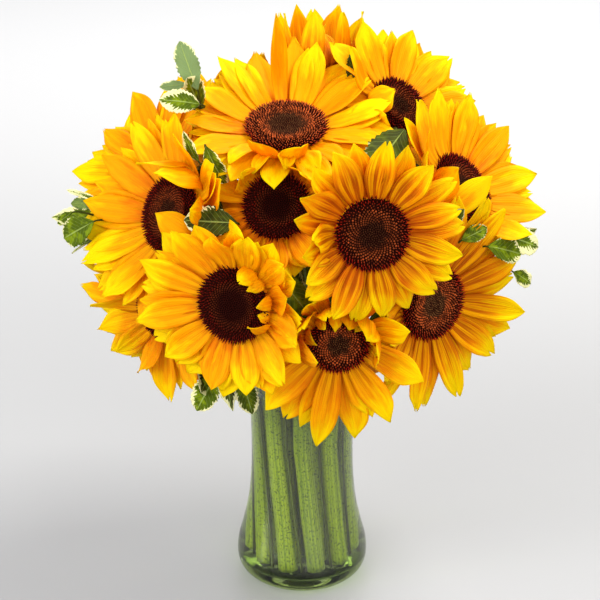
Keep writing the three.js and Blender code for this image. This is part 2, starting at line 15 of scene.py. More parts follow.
import bpy
import numpy as np
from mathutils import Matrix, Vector


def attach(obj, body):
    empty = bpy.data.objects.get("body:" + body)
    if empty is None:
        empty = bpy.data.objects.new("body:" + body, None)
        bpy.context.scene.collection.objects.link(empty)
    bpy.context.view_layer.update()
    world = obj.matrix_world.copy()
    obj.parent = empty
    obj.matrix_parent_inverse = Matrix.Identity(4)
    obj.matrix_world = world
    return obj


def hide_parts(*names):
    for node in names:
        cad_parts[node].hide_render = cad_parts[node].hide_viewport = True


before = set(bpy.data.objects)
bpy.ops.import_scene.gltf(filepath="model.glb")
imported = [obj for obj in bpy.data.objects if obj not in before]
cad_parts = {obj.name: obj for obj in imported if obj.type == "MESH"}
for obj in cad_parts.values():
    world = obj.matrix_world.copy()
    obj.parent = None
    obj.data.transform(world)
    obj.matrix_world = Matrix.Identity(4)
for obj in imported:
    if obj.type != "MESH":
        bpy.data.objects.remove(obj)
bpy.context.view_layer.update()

log = logging.getLogger("sunflowers")
MM = 0.001
UP = np.array([0.0, 0.0, 1.0])


# Numbers, curves and frames that the part and its looks share


def wobble(*key: float) -> float:
    """Seeded noise from -1 to 1: the same key always gives the same number."""
    mixed = math.sin(sum((k + 1) * w for k, w in zip(key, (12.9898, 78.233, 37.719)))) * 43758.5453
    return 2 * (mixed - math.floor(mixed)) - 1


def polar(radius: float, angle: float, z: float) -> np.ndarray:
    """The point at a radius and an angle in radians round the Z axis, at a height."""
    return np.array([radius * math.cos(angle), radius * math.sin(angle), z])


def unit(vector: np.ndarray) -> np.ndarray:
    """The vector at length 1."""
    return vector / np.linalg.norm(vector)


def turned_about(vectors: np.ndarray, axes: np.ndarray, angles: np.ndarray) -> np.ndarray:
    """Vectors turned about axes that they are square to.

    Args:
        vectors: One vector per row.
        axes: One unit axis per row.
        angles: One angle in radians per row.

    Returns:
        The turned vectors, one per row.
    """
    across = np.cross(axes, vectors)
    return vectors * np.cos(angles)[:, None] + across * np.sin(angles)[:, None]


def eased(low: float, high: float, value: np.ndarray) -> np.ndarray:
    """A smooth step from 0 at low to 1 at high."""
    t = np.clip((value - low) / (high - low), 0, 1)
    return t * t * (3 - 2 * t)


def through(points: Sequence[tuple[float, float]], value: np.ndarray) -> np.ndarray:
    """A smooth curve through points, read at several places.

    Args:
        points: The (place, height) of each point.
        value: The places to read it at.

    Returns:
        The heights there.
    """
    places = np.array([p[0] for p in points])
    heights = np.array([p[1] for p in points])
    slopes = np.gradient(heights, places)
    i = np.clip(np.searchsorted(places, value, side="right") - 1, 0, len(places) - 2)
    gap = places[i + 1] - places[i]
    t = np.clip((value - places[i]) / gap, 0, 1)
    start = heights[i] * (1 + 2 * t) * (1 - t) ** 2 + slopes[i] * gap * t * (1 - t) ** 2
    end = heights[i + 1] * t * t * (3 - 2 * t) - slopes[i + 1] * gap * t * t * (1 - t)
    return start + end


def spline_point(points: Sequence[np.ndarray], share: float, power: float) -> np.ndarray:
    """A point on the Catmull-Rom curve through points.

    Args:
        points: The points that the curve passes.
        share: The share of the way, counted in spans.
        power: 0.5 for the centripetal curve, 0 for the uniform one.

    Returns:
        The point.
    """
    last = len(points) - 1
    span = min(int(share * last), last - 1)
    t = share * last - span
    p1, p2 = points[span], points[span + 1]
    p0 = points[span - 1] if span > 0 else 2 * p1 - p2
    p3 = points[span + 2] if span + 2 <= last else 2 * p2 - p1
    d0, d1, d2 = (np.linalg.norm(b - a) ** power for a, b in ((p0, p1), (p1, p2), (p2, p3)))
    start = ((p1 - p0) / d0 - (p2 - p0) / (d0 + d1) + (p2 - p1) / d1) * d1
    end = ((p2 - p1) / d1 - (p3 - p1) / (d1 + d2) + (p3 - p2) / d2) * d1
    bend = -3 * p1 + 3 * p2 - 2 * start - end
    return p1 + start * t + bend * t * t + (2 * p1 - 2 * p2 + start + end) * t**3


@dataclass(frozen=True)
class Place:
    """Where something is and the way it faces: its rows are right, up and outward."""

    at: np.ndarray
    axes: np.ndarray

    @classmethod
    def facing(cls, at: Sequence[float], faces: Sequence[float]) -> "Place":
        """The place at a point that faces a given way.

        Args:
            at: The point.
            faces: The azimuth and the elevation in degrees.

        Returns:
            The place.
        """
        azimuth, elevation = map(math.radians, faces)
        outward = -polar(math.cos(elevation), azimuth + math.pi / 2, -math.sin(elevation))
        right = unit(np.cross(UP, outward))
        return cls(np.array(at, float), np.array([right, np.cross(outward, right), outward]))

    @property
    def right(self) -> np.ndarray:
        """The unit vector to its right."""
        return self.axes[0]

    @property
    def outward(self) -> np.ndarray:
        """The unit vector that it faces."""
        return self.axes[2]

    def world(self, points: np.ndarray) -> np.ndarray:
        """Points of its own frame in the frame of the whole."""
        return self.at + points @ self.axes


# What stands in the vase: the plans of the blooms and of the foliage


class Ring(Enum):
    """The rings in which stems and twigs pass the vase's neck, by radius."""

    CORE = 0.0
    INNER = 14.2
    OUTER = 28.2
    TWIG = 31.4


class Heart(Enum):
    """The colours of a disc: how light its rim, middle and centre are, and how far they reach."""

    COPPER = (2.3, 0.66, 0.5, 0.8)
    BROWN = (2.1, 0.72, 0.95, 0.94)
    RUST = (3.2, 0.76, 0.66, 0.98)
    UMBER = (2.1, 0.38, 0.24, 0.96)
    MAROON = (1.1, 0.35, 0.3, 1.1)
    BLACK = (0.9, 0.16, 0.0, 1.16)


@dataclass(frozen=True)
class Fold:
    """How the petals of a bloom bend on one side of it, in degrees and shares of the length."""

    towards: float
    spread: float
    lift: float
    curl: float
    reach: float


@dataclass(frozen=True)
class Tuck:
    """A small petal in front of the others: its angle, lean and curl in degrees, and its length."""

    angle: float
    lean: float
    length: float
    curl: float = 30

    @property
    def half(self) -> float:
        """Half its width."""
        return 1.6 + 0.16 * self.length


@dataclass(frozen=True)
class BloomPlan:
    """One bloom: its place, its sizes, its stem's place in the neck and its colours."""

    name: str
    at: tuple[float, float, float]
    faces: tuple[float, float]
    disc: float
    petal: float
    lift: float
    curl: float
    ring: Ring
    slot: float
    folds: tuple[Fold, ...] = ()
    heart: Heart = Heart.MAROON
    warmth: float = 0.0
    full: float = 0.3
    tucks: tuple[Tuck, ...] = ()

    @property
    def place(self) -> Place:
        """The frame in the middle of its disc."""
        return Place.facing(self.at, self.faces)

    @property
    def end(self) -> np.ndarray:
        """Where its stem meets the green back of the bloom."""
        return self.place.at - self.place.outward * Calyx.end


@dataclass(frozen=True)
class LeafPlan:
    """A leaf that shows between the blooms, on a stalk of its own from the twig.

    It faces an azimuth and an elevation; cream is how much of it is pale, and tone shifts its pattern:
    below 0 it darkens the leaf with painted shade, for a leaf in the shadows between the blooms, and
    above 1.5 it gives the grey of a leaf seen from behind.
    """

    base: tuple[float, float, float]
    tip: tuple[float, float, float]
    faces: tuple[float, float]
    broad: float = 1.0
    droop: float = 0.16
    cream: float = 1.0
    tone: float = 0.0


@dataclass(frozen=True)
class SprayPlan:
    """One spray of foliage: its twig's place in the neck, where it ends, and its leaves."""

    name: str
    slot: float
    at: tuple[float, float, float]
    faces: tuple[float, float]
    leaves: int
    leaf: float
    shown: tuple[LeafPlan, ...] = ()
    ring: Ring = Ring.TWIG

    @property
    def place(self) -> Place:
        """The frame at the twig's end."""
        return Place.facing(self.at, self.faces)

    @property
    def end(self) -> np.ndarray:
        """Where its twig ends."""
        return self.place.at


BLOOMS = (
    BloomPlan(
        "middle", (45, -127, 329), (6, 8), 24.5, 37, 14, -34, Ring.INNER, -70,
        (Fold(180, 35, 46, 26, 0.72), Fold(90, 50, 34, -26, 1.12), Fold(-90, 50, -2, -30, 1.05)),
        Heart.UMBER, 0.9, 0.0,
    ),
    BloomPlan(
        "top", (-11, -20, 363), (0, 73), 28.5, 47, 8, -8, Ring.CORE, 0,
        (Fold(90, 50, 40, -4, 1.2), Fold(98, 9, 50, -4, 1.4), Fold(-90, 48, 6, -34, 0.78)),
        Heart.COPPER, 0.0, 0.9,
        (
            Tuck(-134, 28, 30, -80), Tuck(-112, 38, 31, -95), Tuck(-90, 44, 27, -105),
            Tuck(-68, 36, 31, -95), Tuck(-46, 28, 29, -75),
        ),
    ),
    BloomPlan(
        "lower_left", (-45, -106, 269), (-24, 10), 26, 42, 9, -10, Ring.OUTER, -130,
        (
            Fold(20, 52, 40, 4, 0.66), Fold(100, 30, 44, 4, 0.75),
            Fold(180, 50, 8, -8, 1.1), Fold(-80, 30, 6, -12, 0.92),
        ),
        Heart.BLACK, 0.3, 0.8,
        (Tuck(62, 108, 23), Tuck(43, 122, 17), Tuck(14, 96, 19), Tuck(-9, 126, 12), Tuck(-26, 112, 22)),
    ),
    BloomPlan(
        "lower_right", (88, -76, 257), (34, 2), 26, 54, 11, -12, Ring.OUTER, -50,
        (Fold(150, 50, 36, 8, 0.6), Fold(-155, 30, 24, 0, 0.62), Fold(-90, 45, 2, -14, 1)),
        Heart.BROWN, 0.8, 0.4,
    ),
    BloomPlan(
        "bottom", (24, -112, 244), (2, -2), 21, 48, 7, -8, Ring.OUTER, -90,
        (
            Fold(90, 50, 64, 46, 0.56), Fold(5, 30, 40, 10, 0.8),
            Fold(175, 30, 40, 10, 0.75), Fold(-90, 50, 2, -4, 1.2),
        ),
        Heart.RUST, 0.5, 0.85,
        (
            Tuck(160, 110, 19), Tuck(122, 96, 17), Tuck(96, 122, 18), Tuck(70, 108, 19), Tuck(46, 118, 13),
            Tuck(14, 84, 15), Tuck(-8, 76, 16),
        ),
    ),
    BloomPlan(
        "left", (-89, -50, 312), (-50, 24), 27, 52, 20, 0, Ring.OUTER, -170,
        (Fold(0, 46, 54, 8, 0.8), Fold(130, 35, 20, 0, 0.85), Fold(195, 50, 20, 0, 1.15)),
        Heart.MAROON, 0.15, 0.9,
    ),
    BloomPlan(
        "right", (109, -38, 325), (58, 38), 26, 48, 22, 0, Ring.OUTER, -10,
        (Fold(180, 46, 76, 6, 0.95), Fold(-90, 34, 58, 20, 0.7)),
        Heart.MAROON, 0.2, 0.9,
    ),
    BloomPlan(
        "centre", (-17, -76, 327), (-6, 34), 23, 34, 10, 0, Ring.INNER, -142,
        (Fold(0, 40, 52, 20, 0.8), Fold(90, 50, -10, 0, 0.8), Fold(-90, 40, 22, 10, 0.85)),
        Heart.BLACK, 0.35, 0.4,
    ),
    BloomPlan(
        "upper_right", (67, 16, 367), (44, 44), 22, 43, 20, 0, Ring.INNER, 2,
        (Fold(200, 45, 60, 10, 0.85),),
        Heart.MAROON, 0.2, 1.0,
    ),
    BloomPlan(
        "outer_left", (-101, -16, 221), (-40, -12), 21, 60, 2, -6, Ring.OUTER, 150,
        (Fold(30, 62, 74, 40, 0.66), Fold(-50, 40, 8, -4, 0.75)),
        Heart.MAROON, 0.4, 0.9,
        (Tuck(200, 14, 44), Tuck(222, 24, 38), Tuck(246, 10, 40), Tuck(176, 30, 40), Tuck(150, 12, 36)),
    ),
    BloomPlan(
        "upper_left", (-107, 28, 320), (-60, 46), 25, 48, 14, 4, Ring.OUTER, 110,
        (), Heart.MAROON, 0.25, 0.8,
    ),
    BloomPlan(
        "top_back", (14, 60, 388), (160, 84), 13, 42, 71, 14, Ring.INNER, 74,
        (), Heart.MAROON, 0.7,
    ),
    BloomPlan(
        "back_left", (-58, 84, 334), (-150, 44), 26, 46, 18, -6, Ring.INNER, 146,
        (), Heart.BROWN, 0.3,
    ),
    BloomPlan(
        "back_right", (96, 60, 290), (124, 14), 26, 44, 16, -8, Ring.OUTER, 30,
        (), Heart.BLACK, 0.5,
    ),
    BloomPlan(
        "back", (14, 114, 294), (176, 14), 26, 44, 14, -8, Ring.OUTER, 70,
        (), Heart.MAROON, 0.4,
    ),
)

# A shown leaf's last number is its tone: below 0 the leaf finish darkens it with painted shade, for leaves
# that fill the shadowed gaps between the blooms.
SPRAYS = (
    SprayPlan(
        "upper_left", 130, (-72, 0, 372), (-40, 40), 5, 38,
        (
            LeafPlan((-72, -20, 392), (-85, -8, 423), (-14, 24), 0.95, 0.1, 0.3, 1.7),
            LeafPlan((-70, -34, 386), (-94, -40, 393), (-24, 30), 1.3, 0.5, 1.3, 0.2),
            LeafPlan((-79, -14, 394), (-100, -10, 391), (-20, 20), 0.7, 0.2, 0.6, 1.6),
        ),
    ),
    SprayPlan(
        "right", -30, (132, -22, 272), (60, 10), 5, 38,
        (
            LeafPlan((128, -60, 292), (156, -52, 284), (20, 30), 1.2, 0.3, 0.7, 0.5),
            LeafPlan((142, -40, 292), (170, -34, 281), (30, 20), 1.2, 0.3, 1.5, 0.3),
            LeafPlan((109, -66, 299), (127, -62, 307), (20, 30), 1.2, 0.2, 0.3, -0.3),
            LeafPlan((150, -30, 260), (166, -24, 248), (40, 14), 1.2, 0.2, 1.2, 0.0),
        ),
    ),
    SprayPlan(
        "left", 170, (-138, 2, 286), (-70, 10), 5, 38,
        (
            LeafPlan((-147, -26, 297), (-174, -14, 278), (-30, 10), 1.2, 0.2, 0.3, 0.4),
            LeafPlan((-164, -8, 297), (-178, -2, 285), (-30, 10), 0.8, 0.2, 0.3, 0.3),
            LeafPlan((-143, -8, 305), (-168, 0, 300), (-30, 14), 0.7, 0.2, 0.3, 1.4),
            LeafPlan((-145, -6, 306), (-169, 0, 311), (-24, 20), 0.35, 0.1, 2.0, 0.2),
        ),
    ),
    SprayPlan(
        "rim_left", -150, (-60, -50, 196), (-30, -50), 5, 36,
        (
            LeafPlan((-60, -76, 202), (-75, -86, 178), (-14, 14), 1.3, 0.2, 0.7, 0.6),
            LeafPlan((-44, -68, 200), (-35, -74, 168), (6, 8), 0.95, 0.15, 0.8, -0.5),
        ),
    ),
    SprayPlan(
        "centre_left", -110, (-50, -62, 302), (-30, 45), 4, 36,
        (
            LeafPlan((-65, -62, 366), (-54, -68, 338), (-20, 10), 0.9, 0.3, 0.9, -0.4),
            LeafPlan((-70, -60, 354), (-81, -66, 372), (-30, 24), 0.7, 0.4, 1.0, 0.3),
            LeafPlan((-44, -84, 319), (-78, -90, 323), (-10, 20), 1.25, 0.25, 0.6, -0.9),
            LeafPlan((-34, -84, 293), (-50, -76, 316), (-10, 20), 1.0, 0.3, 0.2, -1.0),
            LeafPlan((-33, -84, 279), (-4, -86, 296), (0, 20), 1.0, 0.2, 0.0, -0.9),
        ),
    ),
    SprayPlan(
        "top_right", 10, (44, -46, 350), (30, 60), 4, 36,
        (
            LeafPlan((70, -34, 368), (46, -76, 352), (10, 50), 1.1, 0.1, 0.15, -0.8),
            LeafPlan((84, -86, 306), (104, -100, 330), (20, 30), 0.8, 0.3, 0.2, -0.8),
            LeafPlan((36, 24, 380), (39, 28, 406), (4, 24), 1.0, 0.2, 0.0, -0.9),
            LeafPlan((49, -20, 334), (66, -14, 362), (10, 30), 1.0, 0.2, 0.0, -0.9),
        ),
    ),
    SprayPlan(
        "centre_low", -70, (-6, -66, 250), (-5, 40), 3, 30,
        (
            LeafPlan((-20, -98, 292), (5, -112, 262), (0, 14), 0.95, 0.2, 0.0, 0.0),
            LeafPlan((-12, -88, 250), (-6, -104, 212), (-8, 10), 0.8, 0.1, 0.0, 0.8),
            LeafPlan((60, -70, 262), (52, -96, 232), (10, 10), 0.9, 0.1, 0.0, -0.6),
        ),
    ),
    SprayPlan("back_left", 90, (-54, 84, 236), (-150, 0), 4, 38),
    SprayPlan("back_right", 50, (60, 84, 232), (150, 0), 4, 38),
)


# Meshes: blanks made once with operators, then shaped and repeated


def deselect() -> None:
    """Leaves nothing selected, so that an operator acts on what it is given."""
    for piece in bpy.context.selected_objects:
        piece.select_set(False)


def activate(piece: bpy.types.Object) -> None:
    """Makes a piece the only selected one, and the active one.

    Args:
        piece: The piece.
    """
    deselect()
    piece.select_set(True)
    bpy.context.view_layer.objects.active = piece


def apply_modifiers(piece: bpy.types.Object) -> None:
    """Applies all of a piece's modifiers, in their order.

    Args:
        piece: The piece.
    """
    activate(piece)
    for modifier in list(piece.modifiers):
        bpy.ops.object.modifier_apply(modifier=modifier.name)


def joined(name: str, pieces: Sequence[bpy.types.Object]) -> bpy.types.Object:
    """Several pieces as one.

    Args:
        name: The name of the whole.
        pieces: The pieces, which are used up.

    Returns:
        The whole.
    """
    activate(pieces[0])
    for piece in pieces:
        piece.select_set(True)
    if len(pieces) > 1:
        bpy.ops.object.join()
    whole = bpy.context.object
    whole.name = whole.data.name = name
    return whole


def finished(
    piece: bpy.types.Object,
    material: bpy.types.Material,
    node: str,
) -> None:
    """Dresses a piece, lets it ride on the whole and stand for its CAD node.

    Args:
        piece: The finished piece.
        material: What it is made of.
        node: The CAD node that it stands for.
    """
    piece.data.materials.clear()
    piece.data.materials.append(material)
    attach(piece, "root")
    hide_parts(node)
    faces = sum(len(face.vertices) - 2 for face in piece.data.polygons)
    log.info("%s stands for %s, with %d triangles", piece.name, node, faces)


Mark = Union[float, Sequence[float], np.ndarray]


class Blank:
    """A small mesh made with operators, whose points are then set in place, any number of times."""

    def __init__(self, piece: bpy.types.Object) -> None:
        """Takes over an object's mesh and removes the object.

        Args:
            piece: The object.
        """
        mesh = piece.data
        self.points = np.array([v.co for v in mesh.vertices])
        self.corners = np.array([loop.vertex_index for loop in mesh.loops])
        self.starts = np.array([face.loop_start for face in mesh.polygons])
        self.chart = np.array([c.uv for c in mesh.uv_layers.active.data])
        bpy.data.objects.remove(piece)

    def repeated(self, name: str, places: np.ndarray, **marks: Mark) -> bpy.types.Object:
        """The blank repeated at several places in one mesh.

        Args:
            name: The name of the new object.
            places: The points of each copy in millimetres, as (copies, points, 3).
            **marks: One value, or one of each copy or of each of its points, kept as mesh attributes.

        Returns:
            The new object, shaded smooth.
        """
        copies, count = len(places), len(self.points)
        shifts = np.arange(copies)[:, None]
        mesh = bpy.data.meshes.new(name)
        mesh.vertices.add(copies * count)
        mesh.vertices.foreach_set("co", (places * MM).astype(np.float32).ravel())
        mesh.loops.add(copies * len(self.corners))
        mesh.loops.foreach_set("vertex_index", (self.corners + shifts * count).ravel())
        mesh.polygons.add(copies * len(self.starts))
        mesh.polygons.foreach_set("loop_start", (self.starts + shifts * len(self.corners)).ravel())
        chart = mesh.uv_layers.new(name="chart")
        chart.data.foreach_set("uv", np.tile(self.chart.ravel(), copies).astype(np.float32))
        for mark, values in marks.items():
            rows = np.reshape(values, (copies, -1)) if np.ndim(values) else values
            spread = np.broadcast_to(rows, (copies, count))
            attribute = mesh.attributes.new(mark, "FLOAT", "POINT")
            attribute.data.foreach_set("value", spread.astype(np.float32).ravel())
        mesh.update(calc_edges=True)
        mesh.shade_smooth()
        piece = bpy.data.objects.new(name, mesh)
        bpy.context.scene.collection.objects.link(piece)
        return piece


class Sheet(Blank):
    """A thin closed sheet: across it from -1 to 1, along it from 0 to 1, and its two faces."""

    def __init__(self, columns: int, rows: int) -> None:
        """Makes a grid and gives it a thickness.

        Args:
            columns: The number of faces across it.
            rows: The number of faces along it.
        """
        deselect()
        bpy.ops.mesh.primitive_grid_add(x_subdivisions=columns, y_subdivisions=rows, size=1, calc_uvs=True)
        piece = bpy.context.object
        solid = piece.modifiers.new("thickness", "SOLIDIFY")
        solid.thickness = 1
        solid.offset = 0
        apply_modifiers(piece)
        super().__init__(piece)
        self.across = 2 * self.points[:, 0]
        self.along = self.points[:, 1] + 0.5
        self.face = 2 * self.points[:, 2]


class Tube(Blank):
    """A closed tube: the angle round it, and its rows from 0 upwards."""

    def __init__(self, sides: int, rows: int) -> None:
        """Makes a cylinder and cuts its wall into rows.

        Args:
            sides: The number of faces round it.
            rows: The number of faces along it.
        """
        deselect()
        bpy.ops.mesh.primitive_cylinder_add(vertices=sides, radius=1, depth=1, calc_uvs=True)
        piece = bpy.context.object
        bpy.ops.object.mode_set(mode="EDIT")
        bpy.ops.mesh.select_mode(type="EDGE")
        bpy.ops.mesh.select_all(action="DESELECT")
        bpy.ops.object.mode_set(mode="OBJECT")
        for edge in piece.data.edges:
            low, high = (piece.data.vertices[i].co.z for i in edge.vertices)
            edge.select = abs(high - low) > 0.5
        bpy.ops.object.mode_set(mode="EDIT")
        bpy.ops.mesh.subdivide(number_cuts=rows - 1)
        bpy.ops.object.mode_set(mode="OBJECT")
        super().__init__(piece)
        self.turn = np.arctan2(self.points[:, 1], self.points[:, 0])
        self.row = np.rint((self.points[:, 2] + 0.5) * rows).astype(int)

    def wrapped(self, path: Sequence[np.ndarray], radii: np.ndarray) -> np.ndarray:
        """The tube's points wrapped round a path.

        Args:
            path: The centre of each row, and the two ways across the path there.
            radii: The radius at each of the tube's points.

        Returns:
            The points.
        """
        centres, across, other = (part[self.row] for part in path)
        centres = centres + across * (radii * np.cos(self.turn))[:, None]
        return centres + other * (radii * np.sin(self.turn))[:, None]


def turned(
    name: str, profile: Sequence[tuple[float, float]], sides: int, scale: float = MM
) -> bpy.types.Object:
    """A turned solid: a circle drawn out through every ring of a profile.

    Args:
        name: The name of the new object.
        profile: The (radius, height) of each ring, from the underside's middle round to the top's.
        sides: The number of sides of each ring.
        scale: The length of the profile's unit, in metres.

    Returns:
        The new object, closed at both ends.
    """
    deselect()
    (radius, height), *others = profile
    start = (0, 0, height * scale)
    bpy.ops.mesh.primitive_circle_add(
        vertices=sides, radius=radius * scale, fill_type="NGON", location=start, calc_uvs=True
    )
    piece = bpy.context.object
    bpy.ops.object.transform_apply(location=True, rotation=False, scale=False)
    bpy.ops.object.mode_set(mode="EDIT")
    bpy.ops.mesh.select_all(action="SELECT")
    for next_radius, next_height in others:
        rise = (next_height - height) * scale
        bpy.ops.mesh.extrude_region_move(TRANSFORM_OT_translate={"value": (0, 0, rise)})
        share = next_radius / radius
        bpy.ops.transform.resize(value=(share, share, 1), center_override=(0, 0, next_height * scale))
        radius, height = next_radius, next_height
    bpy.ops.mesh.select_all(action="SELECT")
    bpy.ops.mesh.normals_make_consistent(inside=False)
    bpy.ops.object.mode_set(mode="OBJECT")
    piece.name = piece.data.name = name
    return piece


class CadPoints:
    """The corner points of a CAD node, which say which of the shapes that were tried it has."""

    MATCH = 0.05

    def __init__(self, node: str) -> None:
        """Reads the node's points, in millimetres.

        Args:
            node: The name of the node.
        """
        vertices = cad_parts[node].data.vertices
        flat = np.empty(len(vertices) * 3, np.float32)
        vertices.foreach_get("co", flat)
        self.points = flat.reshape(-1, 3) / MM

    def misses(self, points: np.ndarray) -> np.ndarray:
        """How far each of some points is from the nearest corner."""
        return np.linalg.norm(points[:, None] - self.points, axis=2).min(axis=1)

    def best(self, tried: Sequence, place: Optional[Place] = None) -> Optional[Union["Petal", "Leaf"]]:
        """The one whose tip is a corner of the node, or nothing.

        Args:
            tried: The petals or leaves to choose from.
            place: The frame that they are in, if it isn't that of the whole.

        Returns:
            The petal or leaf.
        """
        tips = np.vstack([one.midrib(np.array([1.0])) for one in tried])
        misses = self.misses(place.world(tips) if place else tips)
        return tried[int(misses.argmin())] if misses.min() < self.MATCH else None


# Materials: maths on sockets, and the finishes


def ink(red: int, green: int, blue: int) -> tuple[float, float, float, float]:
    """A colour given as it looks on a screen.

    Args:
        red: Its red, from 0 to 255.
        green: Its green.
        blue: Its blue.

    Returns:
        The shaders' linear colour, with an alpha of 1.
    """
    parts = [c / 255 for c in (red, green, blue)]
    linear = [c / 12.92 if c <= 0.04045 else ((c + 0.055) / 1.055) ** 2.4 for c in parts]
    return (*linear, 1.0)


Feed = Union[float, tuple, "Value", bpy.types.NodeSocket]


@dataclass(frozen=True)
class Value:
    """A number that varies over a surface: a socket with Python's operators."""

    shader: "Shader"
    socket: bpy.types.NodeSocket

    def maths(self, operation: str, first: Feed, second: Feed = 0.0) -> "Value":
        """The result of a Math node."""
        return self.shader.value("ShaderNodeMath", {"operation": operation}, {0: first, 1: second})

    def __add__(self, other: Feed) -> "Value":
        """self + other."""
        return self.maths("ADD", self, other)

    def __sub__(self, other: Feed) -> "Value":
        """self - other."""
        return self.maths("SUBTRACT", self, other)

    def __rsub__(self, other: Feed) -> "Value":
        """other - self."""
        return self.maths("SUBTRACT", other, self)

    def __mul__(self, other: Feed) -> "Value":
        """self * other."""
        return self.maths("MULTIPLY", self, other)

    def __abs__(self) -> "Value":
        """abs(self)."""
        return self.maths("ABSOLUTE", self)

    __radd__ = __add__
    __rmul__ = __mul__

    def wave(self) -> "Value":
        """The sine of the value."""
        return self.maths("SINE", self)

    def zigzag(self) -> "Value":
        """A line that climbs from 0 to 1 and falls back, once in every whole number."""
        return self.maths("PINGPONG", self, 0.5) * 2

    def between(self, low: float, high: float) -> "Value":
        """A smooth step from 0 at low to 1 at high; the other way round too.

        Args:
            low: Where the step gives 0.
            high: Where it gives 1.

        Returns:
            The step.
        """
        settings = {"interpolation_type": "SMOOTHSTEP"}
        spans = {0: self, 1: min(low, high), 2: max(low, high)}
        spans |= {3: 0.0, 4: 1.0} if low < high else {3: 1.0, 4: 0.0}
        return self.shader.value("ShaderNodeMapRange", settings, spans)


class Shader:
    """A material's node tree, built up call by call."""

    def __init__(self, name: str) -> None:
        """Starts an empty material.

        Args:
            name: The material's name.
        """
        self.material = bpy.data.materials.new(name)
        self.material.use_nodes = True
        self.material.node_tree.nodes.clear()

    def add(self, kind: str, settings: dict, inputs: dict) -> bpy.types.Node:
        """Adds a node.

        Args:
            kind: The node's type.
            settings: Its own properties, set first; "stops" are a ramp's (place, colour) pairs.
            inputs: The value or the link of each socket, by name or number.

        Returns:
            The node.
        """
        node = self.material.node_tree.nodes.new(kind)
        for name, setting in settings.items():
            if name == "stops":
                self._set_stops(node.color_ramp, setting)
            else:
                setattr(node, name, setting)
        for key, feed in inputs.items():
            source = feed.socket if isinstance(feed, Value) else feed
            if isinstance(source, bpy.types.NodeSocket):
                self.material.node_tree.links.new(source, node.inputs[key])
            else:
                node.inputs[key].default_value = source
        return node

    @staticmethod
    def _set_stops(ramp: bpy.types.ColorRamp, stops: Sequence[tuple[float, tuple]]) -> None:
        """Gives a ramp its stops.

        Args:
            ramp: The ramp.
            stops: The (place, colour) of each stop.
        """
        while len(ramp.elements) < len(stops):
            ramp.elements.new(1.0)
        for element, (place, colour) in zip(ramp.elements, stops):
            element.position = place
            element.color = colour

    def value(self, kind: str, settings: dict, inputs: dict, output: Union[int, str] = 0) -> Value:
        """The number that a new node gives."""
        return Value(self, self.add(kind, settings, inputs).outputs[output])

    def mark(self, name: str) -> Value:
        """A value kept on the piece's points."""
        return self.value("ShaderNodeAttribute", {"attribute_name": name}, {}, "Fac")

    def parts(self, vector: bpy.types.NodeSocket) -> list[Value]:
        """The x, y and z of a vector."""
        return [Value(self, part) for part in self.add("ShaderNodeSeparateXYZ", {}, {0: vector}).outputs]

    def chart(self) -> list[Value]:
        """The piece's own map: across it and along it."""
        return self.parts(self.add("ShaderNodeUVMap", {"uv_map": "chart"}, {}).outputs[0])[:2]

    def place(self) -> bpy.types.NodeSocket:
        """The place in the object, in metres."""
        return self.add("ShaderNodeTexCoord", {}, {}).outputs["Object"]

    def vector(self, x: Feed, y: Feed, z: Feed = 0.0) -> bpy.types.NodeSocket:
        """A vector put together from three numbers."""
        return self.add("ShaderNodeCombineXYZ", {}, {0: x, 1: y, 2: z}).outputs[0]

    def noise(self, at: Feed, scale: float, detail: float = 2.0) -> Value:
        """Noise from 0 to 1 at a place."""
        inputs = {"Vector": at, "Scale": scale, "Detail": detail}
        return self.value("ShaderNodeTexNoise", {}, inputs, "Fac")

    def ramp(self, factor: Feed, *stops: tuple[float, tuple]) -> bpy.types.NodeSocket:
        """A colour that runs through stops."""
        return self.add("ShaderNodeValToRGB", {"stops": stops}, {0: factor}).outputs[0]

    def mix(self, factor: Feed, first: Feed, second: Feed) -> bpy.types.NodeSocket:
        """Two colours mixed by a factor."""
        inputs = {0: factor, 6: first, 7: second}
        return self.add("ShaderNodeMix", {"data_type": "RGBA"}, inputs).outputs[2]

    def bump(self, height: Feed, distance: float, strength: float = 1.0) -> bpy.types.NodeSocket:
        """A normal from a height, whose full range stands for a distance in metres."""
        inputs = {"Height": height, "Distance": distance, "Strength": strength}
        return self.add("ShaderNodeBump", {}, inputs).outputs[0]

    def principled(self, **inputs: Feed) -> bpy.types.NodeSocket:
        """A Principled shader, its inputs given with underscores for spaces."""
        named = {name.replace("_", " "): feed for name, feed in inputs.items()}
        return self.add("ShaderNodeBsdfPrincipled", {}, named).outputs[0]

    def show(self, surface: bpy.types.NodeSocket) -> bpy.types.Material:
        """Makes a shader the material's surface and returns the material."""
        self.add("ShaderNodeOutputMaterial", {}, {"Surface": surface})
        return self.material

    def show_solid(self, **inputs: Feed) -> bpy.types.Material:
        """Shows a Principled shader."""
        return self.show(self.principled(**inputs))

    def show_both(
        self, share: Feed, first: bpy.types.NodeSocket, second: bpy.types.NodeSocket
    ) -> bpy.types.Material:
        """Shows two shaders mixed by a share."""
        return self.show(self.add("ShaderNodeMixShader", {}, {0: share, 1: first, 2: second}).outputs[0])

    def show_thin(self, clear: float, **inputs: Feed) -> bpy.types.Material:
        """Shows a Principled shader through which light shines.

        Args:
            clear: The share of the light that passes.
            **inputs: The Principled shader's inputs, with a colour and a normal among them.

        Returns:
            The material.
        """
        solid = self.principled(**inputs)
        both = {"Color": inputs["Base_Color"], "Normal": inputs["Normal"]}
        return self.show_both(clear, solid, self.add("ShaderNodeBsdfTranslucent", {}, both).outputs[0])


